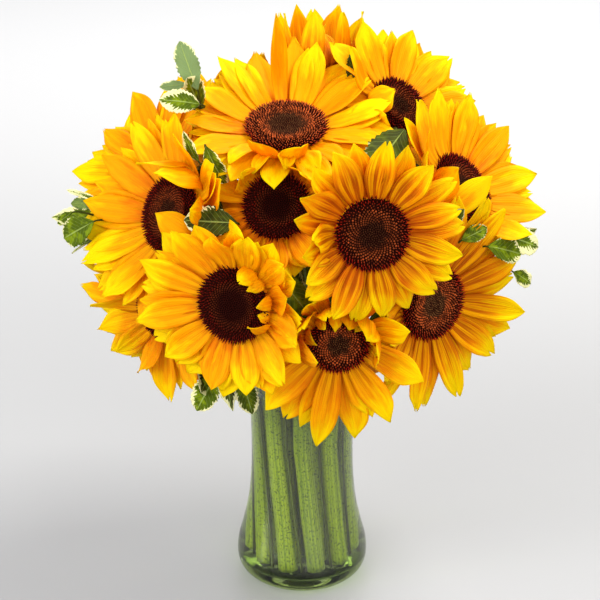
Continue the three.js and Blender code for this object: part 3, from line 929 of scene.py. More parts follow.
@dataclass(frozen=True)
class PetalFinish:
    """Golden petals: orange at the root, yellow at the tip, finely grooved, and light shows through."""

    root: tuple = ink(240, 136, 0)
    golden: tuple = ink(250, 180, 0)
    yellow: tuple = ink(255, 226, 0)
    streak: tuple = ink(226, 92, 0)
    stain: tuple = ink(130, 34, 2)
    folds: float = 3
    grooves: float = 14
    depth: float = 0.0004
    rough: float = 0.55
    shine: float = 0.06
    clear: float = 0.4

    def material(self) -> bpy.types.Material:
        """Builds the material, whose pattern each petal's tone shifts.

        Returns:
            The material.
        """
        s = Shader("petal")
        across, along = s.chart()
        tone, warmth = s.mark("tone"), s.mark("warmth")
        fibre = s.noise(s.vector(across * 17 + tone * 9, along * 1.1 + tone * 5, tone * 3), 1.0, 3)
        broad = s.noise(s.vector(across * 4 + tone * 11, along * 3.2, tone * 7), 1.0, 2)
        ripe = along * (warmth * 0.5 + 0.7) + (broad - 0.5) * 0.9 + tone * 0.24 - warmth * 0.26 + 0.16
        colour = s.ramp(ripe, (0.0, self.root), (0.3, self.golden), (0.52, self.golden), (0.85, self.yellow))
        fold = (across * (2 * math.pi * self.folds) + 0.7 * math.pi).wave() * 0.5 + 0.5
        streaks = (fibre * 1.1 + fold * 0.16).between(0.46, 0.8) * along.between(1.05, 0.3)
        colour = s.mix(streaks * (warmth * 0.76 + 0.1), colour, self.streak)
        stains = (fibre + fold * 0.25).between(0.5, 0.8) * (along - warmth * 0.35).between(0.3, 0.0)
        colour = s.mix(stains * (warmth * 0.34 + 0.12), colour, self.stain)
        ridges = (across * (2 * math.pi * self.grooves)).wave() * 0.5 + fibre * 2.0
        normal = s.bump(ridges * (warmth * 0.6 + 0.4), self.depth, 0.6)
        return s.show_thin(
            self.clear, Base_Color=colour, Roughness=self.rough, Specular_IOR_Level=self.shine, Normal=normal
        )


@dataclass(frozen=True)
class DiscFinish:
    """The florets of a disc: dark red towards their feet, painted shade in the gaps between them, with tips
    that are maroon, brown and olive inwards.
    """

    # depth is the dark red of the florets' feet and of the bed: painted shade in the gaps between the
    # florets.
    depth: tuple = ink(40, 5, 1)
    rim: tuple = ink(150, 24, 6)
    middle: tuple = ink(200, 94, 44)
    centre: tuple = ink(104, 68, 38)
    grain: float = 1300
    pit: float = 0.0005
    rough: float = 0.8
    shine: float = 0.06

    def material(self) -> bpy.types.Material:
        """Builds the material from the marks on each floret.

        Returns:
            The material.
        """
        s = Shader("disc")
        share, height, tone, light = (s.mark(name) for name in ("share", "height", "tone", "light"))
        zone = share + tone * 0.05
        tips = s.ramp(zone, (0.34, self.centre), (0.5, self.middle), (0.66, self.middle), (0.82, self.rim))
        speck = s.noise(s.place(), self.grain, 2)
        # Florets are mixed towards the dark red below 0.6 of their height, painted shade at their feet; the
        # zones' lightness and the specks are the florets' own colour.
        lit = height.between(0.6, 1.0) * light * (tone * 0.55 + 0.8) * (speck * 1.2 + 0.3)
        colour = s.mix(lit, self.depth, tips)
        normal = s.bump(speck, self.pit, 0.7)
        return s.show_solid(
            Base_Color=colour, Roughness=self.rough, Specular_IOR_Level=self.shine, Normal=normal
        )


@dataclass(frozen=True)
class StemFinish:
    """Thick green stems: pale ribs, dark fine specks, pale down, and darker bracts."""

    flesh: tuple = ink(136, 148, 12)
    groove: tuple = ink(92, 108, 8)
    speck: tuple = ink(34, 46, 6)
    bract: tuple = ink(78, 112, 34)
    down: tuple = ink(210, 222, 136)
    ribs: float = 30
    grain: float = 700
    depth: float = 0.0007
    rough: float = 0.6
    shine: float = 0.2
    sheen: float = 0.25

    def material(self) -> bpy.types.Material:
        """Builds the material.

        Returns:
            The material.
        """
        s = Shader("stem")
        across, _ = s.chart()
        place = s.place()
        kind, tone = s.mark("kind"), s.mark("tone")
        rib = s.noise(s.vector(across * self.ribs, tone * 20), 1.0, 2)
        patch = s.noise(place, 26.0, 3)
        colour = s.mix(rib.between(0.35, 0.65), self.groove, self.flesh)
        colour = s.mix(patch.between(0.35, 0.8) * 0.45, colour, self.groove)
        specks = s.noise(place, self.grain, 2)
        colour = s.mix(specks.between(0.54, 0.64) * 0.8, colour, self.speck)
        colour = s.mix(kind.between(0.4, 0.9), colour, self.bract)
        normal = s.bump(rib * 0.8 + specks * 0.35, self.depth, 0.6)
        return s.show_solid(
            Base_Color=colour,
            Roughness=self.rough,
            Specular_IOR_Level=self.shine,
            Normal=normal,
            Sheen_Weight=self.sheen,
            Sheen_Roughness=0.4,
            Sheen_Tint=self.down,
        )


@dataclass(frozen=True)
class LeafFinish:
    """Variegated leaves: green in the middle, a broad cream margin, a pale rib and side veins, and painted
    shade that darkens leaves of low tone to dark olive.
    """

    deep: tuple = ink(74, 92, 2)
    green: tuple = ink(122, 142, 4)
    grey: tuple = ink(126, 148, 92)
    painted_shade: tuple = ink(40, 36, 6)
    cream: tuple = ink(238, 234, 176)
    rib: tuple = ink(172, 192, 100)
    teeth: float = 11
    veins: float = 9
    depth: float = 0.0006
    rough: float = 0.55
    shine: float = 0.1
    clear: float = 0.22

    def material(self) -> bpy.types.Material:
        """Builds the material, whose pattern each leaf's tone shifts.

        Returns:
            The material.
        """
        s = Shader("leaf")
        across, along = s.chart()
        tone, kind = s.mark("tone"), s.mark("kind")
        off = abs(across * 2 - 1)
        patch = s.noise(s.vector(across * 3.2 + tone * 9, along * 6 + tone * 4, tone), 1.0, 3)
        fine = s.noise(s.vector(across * 16, along * 22, tone * 3), 1.0, 2)
        colour = s.mix(patch.between(0.4, 0.62), self.deep, self.green)
        colour = s.mix(tone.between(1.2, 1.6), colour, self.grey)
        # Leaves and twigs with a tone below -0.2 are mixed towards dark olive: painted shade for what sits
        # in the shadows between the blooms.
        colour = s.mix(tone.between(-0.2, -1.0) * 0.8, colour, self.painted_shade)
        jag = (along * self.teeth - off * 3).zigzag() * 0.22
        edge = off * 0.75 + along * 0.5 + jag + (patch - 0.5) * 0.9 + (fine - 0.5) * 0.2 + kind * 0.35
        colour = s.mix(edge.between(1.24, 1.29) * kind.between(0.0, 0.3), colour, self.cream)
        veins = ((along * self.veins - off * 2.6) * (2 * math.pi)).wave().between(0.82, 1.0)
        colour = s.mix(veins * 0.2, colour, self.rib)
        colour = s.mix(off.between(0.07, 0.02) * 0.6, colour, self.rib)
        normal = s.bump(fine * 0.3 - veins * 0.6 - off.between(0.1, 0.0), self.depth, 0.7)
        return s.show_thin(
            self.clear, Base_Color=colour, Roughness=self.rough, Specular_IOR_Level=self.shine, Normal=normal
        )


@dataclass(frozen=True)
class ClearFinish:
    """Something clear that bends light, and lets lamps shine through it."""

    name: str
    tint: tuple
    bending: float
    gloss: float
    # base is a deeper tint for the foot: partly the thick glass's own green, partly a painted reflection of
    # the stems.
    base: Optional[tuple] = None
    base_reach: tuple = (0.03, 0.01)

    def material(self) -> bpy.types.Material:
        """Builds the material, in a deeper green tint at its base if it has one: partly the thick glass's
        own green, partly a painted reflection of the stems above.

        Returns:
            The material.
        """
        s = Shader(self.name)
        colour = self.tint
        if self.base:
            height = s.parts(s.place())[2]
            colour = s.mix(height.between(*self.base_reach), self.tint, self.base)
        body = s.principled(
            Base_Color=colour,
            Roughness=0.0,
            IOR=self.bending,
            Transmission_Weight=1.0,
            Specular_IOR_Level=self.gloss,
        )
        open_air = s.add("ShaderNodeBsdfTransparent", {}, {"Color": self.tint}).outputs[0]
        shadow = s.add("ShaderNodeLightPath", {}, {}).outputs["Is Shadow Ray"]
        return s.show_both(shadow, body, open_air)


@dataclass(frozen=True)
class TableFinish:
    """A pale satin table top, darker towards the front with painted shade."""

    near: tuple = ink(163, 163, 164)
    far: tuple = ink(214, 214, 215)
    reach: tuple = (0.1, 1.5)
    rough: float = 0.45
    shine: float = 0.2

    def material(self) -> bpy.types.Material:
        """Builds the material, paler further back: painted light falloff, lighter behind and shaded in
        front.

        Returns:
            The material.
        """
        s = Shader("table")
        colour = s.mix(s.parts(s.place())[1].between(*self.reach), self.near, self.far)
        return s.show_solid(Base_Color=colour, Roughness=self.rough, Specular_IOR_Level=self.shine)


# Stems and twigs


@dataclass(frozen=True)
class Pull:
    """The pulls at the two ends of a stem's curve, and a sideways one in millimetres."""

    rise: float
    run: float
    sway: float


PULLS = tuple(
    Pull(rise, run, sway)
    for sway in (0, 12, -12, 24, -24, 38, -38)
    for rise in (0.5, 0.6, 0.42, 0.7, 0.34)
    for run in (0.36, 0.28, 0.2, 0.44)
)

Plan = Union[BloomPlan, SprayPlan]


@dataclass(frozen=True)
class Stem:
    """The way of a stem: straight from its foot through the neck, then curving to its end."""

    foot: float = 13.4
    foot_spread: float = 0.95
    foot_twist: float = 20
    neck: float = 118
    leave: float = 166
    neck_spread: float = 1.14
    lean: float = 0.2
    bends: int = 5
    fine_bends: int = 24
    radius: float = 6.2

    def path(self, plan: Plan, pull: Pull, bends: int) -> np.ndarray:
        """The points of a plan's stem.

        Args:
            plan: The bloom or spray that it carries.
            pull: The pulls on its curve.
            bends: The number of spans in the curve.

        Returns:
            The foot, the neck and the points of the curve, one per row.
        """
        turn, radius = math.radians(plan.slot), plan.ring.value
        foot = polar(radius * self.foot_spread, turn + math.radians(self.foot_twist), self.foot)
        leave = polar(radius * self.neck_spread, turn, self.leave)
        gap = np.linalg.norm(leave - plan.end)
        upward = unit(polar(self.lean * radius / Ring.OUTER.value, turn, 1))
        first = leave + upward * gap * pull.rise + polar(pull.sway, turn + math.pi / 2, 0)
        second = plan.end - plan.place.outward * gap * pull.run
        t = np.linspace(0, 1, bends + 1)[:, None]
        curve = (1 - t) ** 3 * leave + 3 * (1 - t) ** 2 * t * first
        curve = curve + 3 * (1 - t) * t * t * second + t**3 * plan.end
        return np.vstack([foot, polar(radius, turn, self.neck), curve])

    def found(self, plan: Plan, node: str, radii: Sequence[float], sides: int) -> Pull:
        """The pulls that the part's own stem has.

        Args:
            plan: The bloom or spray that it carries.
            node: The CAD node with the stem.
            radii: The tube's radius at each point.
            sides: The tube's sides.

        Returns:
            The pulls whose tube has its corners where the node has them.
        """
        corners = CadPoints(node)

        def miss(pull: Pull) -> float:
            """How far a tube's corners are from the node's.

            Args:
                pull: The pulls on its curve.

            Returns:
                The middle one of the distances.
            """
            centres, across, other = carried(self.path(plan, pull, self.bends), plan.place)
            turn = np.arange(sides) * 2 * math.pi / sides
            x, y = np.cos(turn), np.sin(turn)
            rings = [
                centres[i] + radii[i] * (np.outer(x, across[i]) + np.outer(y, other[i]))
                for i in range(2, self.bends + 2)
            ]
            return float(np.median(corners.misses(np.vstack(rings))))

        best = min(PULLS, key=miss)
        if miss(best) > CadPoints.MATCH:
            log.warning("no pull fits %s", node)
        return best


def carried(points: np.ndarray, place: Place) -> tuple[np.ndarray, np.ndarray, np.ndarray]:
    """Frames along a path, carried back from its end.

    Args:
        points: The path.
        place: The frame in which it ends.

    Returns:
        The points, and the two directions across the path at each.
    """
    last = len(points) - 1
    across, sides, others = place.right, [], []
    for i in range(last, -1, -1):
        along = place.outward if i == last else unit(points[i + 1] - points[max(i - 1, 0)])
        across = unit(across - along * (across @ along))
        sides.insert(0, across)
        others.insert(0, np.cross(along, across))
    return points, np.array(sides), np.array(others)


def read_off(points: np.ndarray, known: np.ndarray, wanted: np.ndarray) -> np.ndarray:
    """A path read at wanted distances, given the known distance of each of its points."""
    return np.column_stack([np.interp(wanted, known, points[:, k]) for k in range(3)])


def resampled(points: np.ndarray, rows: int) -> np.ndarray:
    """A path in evenly spaced points, its corners eased over some millimetres.

    Args:
        points: The path.
        rows: The number of points wanted.

    Returns:
        The new points.
    """
    lengths = np.concatenate([[0], np.cumsum(np.linalg.norm(np.diff(points, axis=0), axis=1))])
    count = max(int(lengths[-1]), 4)
    even = read_off(points, lengths, np.linspace(0, lengths[-1], count + 1))
    for _ in range(3):
        even[1:-1] = (even[:-2] + 2 * even[1:-1] + even[2:]) / 4
    return read_off(even, np.arange(count + 1), np.linspace(0, count, rows))


# One bloom: petals, disc, calyx and stem


@dataclass(frozen=True)
class PetalRow:
    """A row of petals: its height, its turn in steps, and how much more it lifts."""

    z: float
    shift: float
    lift: float
    key: int


FRONT_ROW = PetalRow(0, 0.5, 3, 0)
BACK_ROW = PetalRow(-2.3, 0, -7, 1)


class Tip(Enum):
    """How a petal ends, by the number of notches in its tip."""

    POINTED = 0
    NOTCHED = 1
    TOOTHED = 2

    @classmethod
    def chosen(cls, draw: float) -> "Tip":
        """The tip that a draw stands for: most petals are pointed.

        Args:
            draw: Noise from -1 to 1.

        Returns:
            The tip.
        """
        if draw < 0.2:
            return cls.POINTED
        return cls.NOTCHED if draw < 0.7 else cls.TOOTHED


@dataclass(frozen=True)
class PetalShape:
    """The sizes and the fine form that petals share."""

    pitch: float = 14.2
    width: float = 18
    yaw: float = 5
    twist: float = 16
    lift_wobble: float = 4
    size_wobble: float = 0.08
    arch: float = 0.2
    thickness: float = 0.5
    sunk: float = 0.1
    crease: float = 0.8
    ripple: float = 1.3
    notch: float = 0.09
    teeth: float = 0.03
    blunt: float = 0.12
    narrow: float = 0.84
    narrow_lift: float = 40
    narrow_gap: float = 24
    columns: int = 10
    rows: int = 18
    bends: tuple = (0, -7, 7, -14, 14, -21, 21, -28, 28, -36, 36, -45, 45, -55, 55, 66, 78, 90)
    reaches: tuple = (1, 0.84, 0.7, 0.56)
    outline: tuple = (
        (-0.1, 0.5), (0, 0.66), (0.16, 0.9), (0.36, 1.08), (0.54, 1.05), (0.72, 0.84), (0.86, 0.52),
        (0.95, 0.22), (1, 0.04),
    )
    full_outline: tuple = (
        (-0.1, 0.5), (0, 0.66), (0.16, 0.9), (0.36, 1.1), (0.54, 1.18), (0.72, 1.04), (0.86, 0.62),
        (0.95, 0.24), (1, 0.03),
    )


class Petal:
    """One petal in its bloom's frame."""

    SHAPE = PetalShape()
    STEPS = 16

    def __init__(self, plan: BloomPlan, row: PetalRow, index: int, bend: float, reach: float) -> None:
        """Works out the petal's way from its plan, as the part does.

        Args:
            plan: The bloom's plan.
            row: The row that it grows in.
            index: Its number in the row.
            bend: How much further it lifts, in degrees.
            reach: The share of its length that is left.
        """
        shape = self.SHAPE
        self.seed = (BLOOMS.index(plan), index, 8 * row.key)
        step = 2 * math.pi / per_row(plan)
        angle = (index + row.shift) * step
        lift, curl, length_share = folded(plan, math.degrees(angle))
        self.lift = math.radians(lift + row.lift + bend + shape.lift_wobble * self.draw(1))
        self.curl = math.radians(curl)
        self.length = plan.petal * length_share * reach * (1 + shape.size_wobble * self.draw(2))
        self.half = shape.width / 2 * (1 + shape.size_wobble * self.draw(3))
        self.half *= min(1, 1.2 / length_share) ** 2
        self.aim = angle + math.radians(shape.yaw * self.draw(4))
        self.twist = math.radians(shape.twist * self.draw(5))
        self.root = polar(plan.disc, angle, row.z)
        self.rough = 0.5 + 0.5 * plan.warmth
        self.full = plan.full

    @classmethod
    def between(cls, plan: BloomPlan, first: "Petal", second: "Petal") -> "Petal":
        """A narrower petal that grows between two neighbours, in the room between their rows.

        Args:
            plan: The bloom's plan.
            first: The neighbour on one side.
            second: The one on the other side.

        Returns:
            The new petal.
        """
        petal = copy.copy(first)
        petal.seed = (first.seed[0] + 0.5, first.seed[1], first.seed[2])
        turn = (second.aim - first.aim + math.pi) % (2 * math.pi) - math.pi
        petal.aim = first.aim + turn * (0.5 + 0.1 * petal.draw(1))
        petal.lift = (first.lift + second.lift) / 2
        petal.curl = (first.curl + second.curl) / 2
        petal.length = min(first.length, second.length) * (0.94 + 0.08 * petal.draw(2))
        petal.half = (first.half + second.half) / 2 * cls.SHAPE.narrow
        middle = (first.root + second.root) / 2
        petal.root = unit(middle * (1, 1, 0)) * (plan.disc - 0.5) + middle * (0, 0, 1)
        petal.twist = (first.twist + second.twist) / 2
        return petal

    @classmethod
    def tucked(cls, plan: BloomPlan, tuck: Tuck, number: int) -> "Petal":
        """A small petal in front of the others.

        Args:
            plan: The bloom's plan.
            tuck: The petal's own plan.
            number: Its number among its like.

        Returns:
            The new petal.
        """
        petal = cls(plan, FRONT_ROW, number, 0, 1)
        petal.seed = (petal.seed[0] + 0.25, number, 0)
        petal.aim = math.radians(tuck.angle)
        petal.root = polar(plan.disc - 0.5, petal.aim, 1)
        petal.lift = math.radians(tuck.lean)
        petal.curl = math.radians(tuck.curl + 20 * petal.draw(1))
        petal.length = tuck.length
        petal.half = tuck.half + 0.8 * petal.draw(2)
        petal.twist = math.radians(60 * petal.draw(5))
        return petal

    @property
    def outward(self) -> np.ndarray:
        """The way in which the petal leaves the disc."""
        return polar(1, self.aim, 0)

    @property
    def side(self) -> np.ndarray:
        """The way across the petal at its root."""
        return polar(1, self.aim + math.pi / 2, 0)

    def draw(self, channel: int) -> float:
        """The petal's own seeded noise."""
        seed, index, key = self.seed
        return wobble(seed, index, channel + key)

    def slope(self, s: np.ndarray) -> np.ndarray:
        """How steeply the petal rises at shares of its length."""
        return self.lift * np.sin(math.pi / 2 * np.minimum(1, s / 0.45)) + self.curl * s * s

    def midrib(self, s: np.ndarray) -> np.ndarray:
        """The midrib, from the root to the tip.

        Args:
            s: Shares of its length.

        Returns:
            The points there, one per row.
        """
        slopes = self.slope(s[:, None] * (np.arange(self.STEPS) + 0.5) / self.STEPS)
        ahead = (np.cos(slopes).mean(axis=1) * s * self.length)[:, None]
        rise = (np.sin(slopes).mean(axis=1) * s * self.length)[:, None]
        return self.root + ahead * self.outward + rise * UP

    def points(self, sheet: Sheet) -> np.ndarray:
        """A sheet's points laid along the petal.

        Args:
            sheet: The sheet.

        Returns:
            The points, in the bloom's frame.
        """
        shape = self.SHAPE
        share = 1 - (1 - sheet.along) ** 1.15
        s = share * (1 + shape.sunk) - shape.sunk
        w = sheet.across
        width = (1 - self.full) * through(shape.outline, s) + self.full * through(shape.full_outline, s)
        tip = Tip.chosen(self.draw(15))
        near_tip = eased(0.72, 1, s)
        if tip is Tip.NOTCHED:
            s = s - shape.notch * near_tip * np.exp(-((w / 0.4) ** 2))
        if tip is Tip.TOOTHED:
            s = s - shape.teeth * near_tip * (1 - np.cos(3 * math.pi * w))
        width = width + (shape.blunt * near_tip if tip is not Tip.POINTED else 0)
        slopes = self.slope(s)
        along = np.cos(slopes)[:, None] * self.outward + np.sin(slopes)[:, None] * UP
        across = turned_about(np.broadcast_to(self.side, along.shape), along, self.twist * s)
        face = np.cross(along, across)
        middle = np.sin(np.clip(s, 0, 1) * math.pi)
        rise = shape.arch * (1 + 0.7 * self.draw(8)) * self.half * width * w * w * eased(-0.1, 0.15, s)
        crease = shape.crease * self.rough * middle * np.cos(3 * math.pi * w)
        rise = rise + crease * (1 + 0.6 * self.draw(10))
        wave = np.sin(2 * math.pi * (1.3 * s + self.draw(7)) + 1.6 * np.sign(w))
        rise = rise + shape.ripple * self.rough * wave * np.abs(w) ** 3 * eased(0.1, 0.4, s)
        half_thick = shape.thickness / 2 * (1 - 0.55 * np.abs(w)) * (1 - 0.4 * near_tip)
        lean = self.half * 0.35 * self.draw(0) * near_tip * s
        offset = (self.half * width * w + lean)[:, None] * across
        return self.midrib(s) + offset + (rise + half_thick * sheet.face)[:, None] * face


def per_row(plan: BloomPlan) -> int:
    """The number of petals in each of a bloom's rows."""
    return int(2 * math.pi * plan.disc / PetalShape.pitch + 0.5)


def folded(plan: BloomPlan, angle: float) -> tuple[float, float, float]:
    """How a bloom's petals stand at an angle round it.

    Args:
        plan: The bloom's plan.
        angle: The angle in degrees.

    Returns:
        Their lift, their curl and the share of their length.
    """
    lift, curl, reach = plan.lift, plan.curl, 1.0
    for fold in plan.folds:
        away = (angle - fold.towards + 180) % 360 - 180
        share = math.exp(-((away / fold.spread) ** 2))
        lift += share * (fold.lift - plan.lift)
        curl += share * (fold.curl - plan.curl)
        reach += share * (fold.reach - 1)
    return lift, curl, reach


@dataclass(frozen=True)
class Calyx:
    """The green back of a bloom: a cup, and the bracts that wrap it."""

    top: float = -3.3
    bracts: int = 9
    tip: float = 9
    tip_drop: float = 6.5
    end: float = 22

    @staticmethod
    def cup(rim: float) -> list[tuple[float, float]]:
        """The cup, from the stem up to a disc's rim.

        Args:
            rim: The radius of the disc.

        Returns:
            The (radius, height) of each ring.
        """
        return [
            (7.2, -19.5), (9.6, -17), (12.2, -14.4), (rim * 0.62, -10.6),
            (rim * 0.84, -6.2), (rim * 0.8, -3.6), (rim * 0.3, -3.5),
        ]

    def rows(self, rim: float) -> list[tuple[float, float, float, float]]:
        """The rows of bracts.

        Args:
            rim: The radius of the disc.

        Returns:
            Each row's turn in steps, the radius and height of its tips, and its half width.
        """
        drop = self.top - self.tip_drop
        return [
            (0.0, rim + self.tip, drop, 7.0),
            (0.5, rim + self.tip * 0.55, drop - 0.6, 6.5),
            (0.25, rim * 0.86, -13.0, 5.5),
            (0.75, rim * 0.8, -13.6, 5.5),
        ]


@dataclass(frozen=True)
class Disc:
    """The disc of florets: the height of its bed, and how its florets stand from the middle to the rim."""

    edge: float = 1
    base: float = 0.95
    spacing: float = 1.75
    crown: tuple = ((0, 5.0), (0.3, 5.0), (0.5, 5.3), (0.8, 6.3), (0.93, 5.2), (1, 3.7))
    bed_drop: float = 2.1
    bed_shares: tuple = (1, 0.93, 0.8, 0.55, 0.3, 0.08)
    spikes_from: float = 0.7
    tall: tuple = ((0, 2.4), (0.35, 2.8), (0.62, 3.4), (0.8, 4.2), (1, 4.6))
    wide: tuple = ((0, 0.7), (0.35, 0.9), (0.7, 1), (1, 0.9))


GOLDEN_ANGLE = math.pi * (3 - math.sqrt(5))


class Bloom:
    """Builds one bloom in fine pieces, each in the place of its CAD node."""

    def __init__(self, plan: BloomPlan, blanks: "Blanks", finishes: "Finishes") -> None:
        """Takes what the bloom is made from.

        Args:
            plan: Its plan.
            blanks: The blanks that blooms share.
            finishes: The finishes that they share.
        """
        self.plan = plan
        self.place = plan.place
        self.seed = BLOOMS.index(plan)
        self.blanks = blanks
        self.finishes = finishes

    def build(self) -> None:
        """Builds the petals, the disc and the stem with its calyx."""
        name = self.plan.name
        petals = joined(f"petals_{name}", [self.petals(), self.hub()])
        finished(petals, self.finishes.petal, f"bloom_{name}_petals")
        disc = joined(f"disc_{name}", [self.bed(), *self.florets()])
        finished(disc, self.finishes.disc, f"bloom_{name}_disc")
        stem = joined(f"stem_{name}", [self.stem(), self.bracts()])
        finished(stem, self.finishes.stem, f"bloom_{name}_stem")

    def found_petals(self) -> dict[int, Petal]:
        """Finds the petals that the part has, each bent as it is there.

        Returns:
            The petals by their spot round the disc.
        """
        corners = CadPoints(f"bloom_{self.plan.name}_petals")
        found = {}
        for row in (FRONT_ROW, BACK_ROW):
            for index in range(per_row(self.plan)):
                tried = [
                    Petal(self.plan, row, index, bend, reach)
                    for reach in PetalShape.reaches
                    for bend in PetalShape.bends
                ]
                best = corners.best(tried, self.place)
                if best:
                    found[int(2 * index + 2 * row.shift)] = best
        return found

    def petals(self) -> bpy.types.Object:
        """The petals as one mesh: those of the part, narrower ones between them, and tucked ones.

        Returns:
            The new object.
        """
        found = self.found_petals()
        petals = list(found.values())
        for spot, petal in found.items():
            following = found.get((spot + 1) % (2 * per_row(self.plan)))
            lifts = (following.lift, petal.lift) if following else (math.pi, 0)
            steepest, apart = math.degrees(max(lifts)), math.degrees(abs(lifts[0] - lifts[1]))
            if steepest < PetalShape.narrow_lift and apart < PetalShape.narrow_gap:
                narrow = Petal.between(self.plan, petal, following)
                if narrow.draw(3) < 2 * self.plan.full - 1:
                    petals.append(narrow)
        petals += [Petal.tucked(self.plan, tuck, number) for number, tuck in enumerate(self.plan.tucks)]
        points = np.array([self.place.world(petal.points(self.blanks.petal)) for petal in petals])
        tones = [petal.draw(9) for petal in petals]
        return self.blanks.petal.repeated("petals", points, tone=tones, warmth=self.plan.warmth)

    def tube(self, blank: Tube, profile: Sequence[tuple[float, float]]) -> np.ndarray:
        """A tube's points turned through a profile.

        Args:
            blank: The tube.
            profile: The (radius, height) of each row in the bloom's frame.

        Returns:
            The points.
        """
        radii = np.array([radius for radius, _ in profile])[blank.row]
        heights = np.array([height for _, height in profile])[blank.row]
        local = np.column_stack([radii * np.cos(blank.turn), radii * np.sin(blank.turn), heights])
        return self.place.world(local)

    def hub(self) -> bpy.types.Object:
        """The plate that carries the petals' roots.

        Returns:
            The new object.
        """
        rim = self.plan.disc - 0.4
        profile = [
            (rim * 0.5, -2.7), (rim - 1, -2.7), (rim, -1.9), (rim, -0.4), (rim - 1, 0.5), (rim * 0.5, 0.5),
        ]
        points = self.tube(self.blanks.plate, profile)[None]
        return self.blanks.plate.repeated("hub", points, tone=-3.0, warmth=self.plan.warmth)

    def bed(self) -> bpy.types.Object:
        """The body under the florets.

        Returns:
            The new object.
        """
        radius = self.plan.disc - Disc.edge
        shares = Disc.bed_shares
        heights = through(Disc.crown, np.array(shares)) + Disc.base - Disc.bed_drop
        profile = [(radius * 0.9, Disc.base), *zip((radius * s for s in shares), heights)]
        blank = self.blanks.bed
        marks = {"share": np.array([1, *shares])[blank.row], "height": 0.0, "tone": 0.0, "light": 0.0}
        return blank.repeated("bed", self.tube(blank, profile)[None], **marks)

    def florets(self) -> list[bpy.types.Object]:
        """The florets in their spirals: spiky ones at the rim, and buds further in.

        Returns:
            One new object for each kind.
        """
        radius = self.plan.disc - Disc.edge
        count = int((radius / Disc.spacing * 2) ** 2)
        number = np.arange(count)
        share = np.sqrt((number + 0.5) / count)
        turn = number * GOLDEN_ANGLE
        noise = np.array([[wobble(self.seed, i, k) for k in range(4)] for i in number])
        rim_light, middle_light, centre_light, reach = self.plan.heart.value
        light = through(((0, centre_light), (0.4, centre_light), (0.6, middle_light), (1, rim_light)), share)
        out = np.column_stack([np.cos(turn), np.sin(turn), np.zeros(count)])
        along_ring = np.column_stack([-np.sin(turn), np.cos(turn), np.zeros(count)])
        loose = eased(0.5, 0.85, share)
        lean = eased(0.5, 1, share) * 0.95 - eased(0.75, 0.3, share) * 0.12 + noise[:, 0] * 0.12 * loose
        axis = np.cos(lean)[:, None] * UP + np.sin(lean)[:, None] * out
        axis = axis + along_ring * (noise[:, 1] * 0.16 * loose)[:, None]
        axis = axis / np.linalg.norm(axis, axis=1)[:, None]
        side = np.cross(axis, along_ring)
        tall = through(Disc.tall, share) * (1 + (0.03 + 0.13 * loose) * noise[:, 2])
        height = through(Disc.crown, share) + Disc.base - tall * axis[:, 2]
        foot = out * (radius * share * 0.97)[:, None] + height[:, None] * UP
        wide = through(Disc.wide, share) * Disc.spacing / 2
        pieces = []
        spiky = share > Disc.spikes_from
        for blank, chosen in ((self.blanks.spike, spiky), (self.blanks.bud, ~spiky)):
            x, y, z = (blank.points[:, k][None, :, None] for k in range(3))
            grown = (
                foot[chosen][:, None]
                + side[chosen][:, None] * x * wide[chosen][:, None, None]
                + along_ring[chosen][:, None] * y * wide[chosen][:, None, None]
                + axis[chosen][:, None] * z * tall[chosen][:, None, None]
            )
            pieces.append(blank.repeated(
                "florets",
                self.place.world(grown.reshape(-1, 3)).reshape(grown.shape),
                share=share[chosen] * reach,
                height=np.broadcast_to(blank.points[:, 2], grown.shape[:2]),
                tone=noise[chosen, 3],
                light=light[chosen],
            ))
        return pieces

    def stem(self) -> bpy.types.Object:
        """The stem, opening out into the cup behind the bloom.

        Returns:
            The new object.
        """
        blank = self.blanks.stem
        stem = Stem()
        cup = Calyx.cup(self.plan.disc)
        rows = blank.row.max() + 1 - len(cup)
        pull = stem.found(
            self.plan, f"bloom_{self.plan.name}_stem", [stem.radius] * (stem.bends + 3), sides=6
        )
        way = carried(resampled(stem.path(self.plan, pull, stem.fine_bends), rows), self.place)
        right, up, outward = self.place.axes
        centres = [self.place.at + outward * height for _, height in cup]
        ends = (centres, [right] * len(cup), [up] * len(cup))
        radii = np.concatenate([np.full(rows, stem.radius), [radius for radius, _ in cup]])
        ribs = 1 + 0.025 * np.sin(7 * blank.turn + self.seed) + 0.015 * np.sin(11 * blank.turn)
        swell = 1 + 0.03 * np.sin(blank.row * 0.31 + self.seed)
        points = blank.wrapped([np.vstack(both) for both in zip(way, ends)], radii[blank.row] * ribs * swell)
        kind = eased(rows, rows + 2, blank.row.astype(float))
        return blank.repeated("stem", points[None], kind=kind, tone=wobble(self.seed, 3))

    def bract(self, number: int, index: int) -> np.ndarray:
        """A pointed bract that wraps the cup.

        Args:
            number: The number of its row.
            index: Its number in the row.

        Returns:
            Its points.
        """
        blank, calyx, rim = self.blanks.bract, Calyx(), self.plan.disc
        shift, reach, drop, half = calyx.rows(rim)[number]
        draw = [wobble(self.seed + 20 * number, index, k) for k in range(3)]
        turn = (index + shift + 0.12 * draw[0]) * (2 * math.pi / calyx.bracts)
        out, side = polar(1, turn, 0), polar(1, turn + math.pi / 2, 0)
        low = (9.5, -17.6 - number * 0.4)
        knee = (rim * 0.72, -13.4 - number * 0.5)
        high = (reach * (1 + 0.04 * draw[1]), drop + 1.2 * draw[2])
        t = blank.along
        line = np.outer((1 - t) ** 2, low) + np.outer(2 * t * (1 - t), knee) + np.outer(t * t, high)
        width = half * through(((0, 0.8), (0.4, 1), (0.7, 0.72), (0.9, 0.3), (1, 0.04)), t)
        bulge = 0.8 * (1 - blank.across**2) * np.sin(math.pi * t) + 0.3 * blank.face
        local = np.outer(line[:, 0], out) + np.outer(line[:, 1] - bulge, UP)
        return self.place.world(local + np.outer(width * blank.across, side))

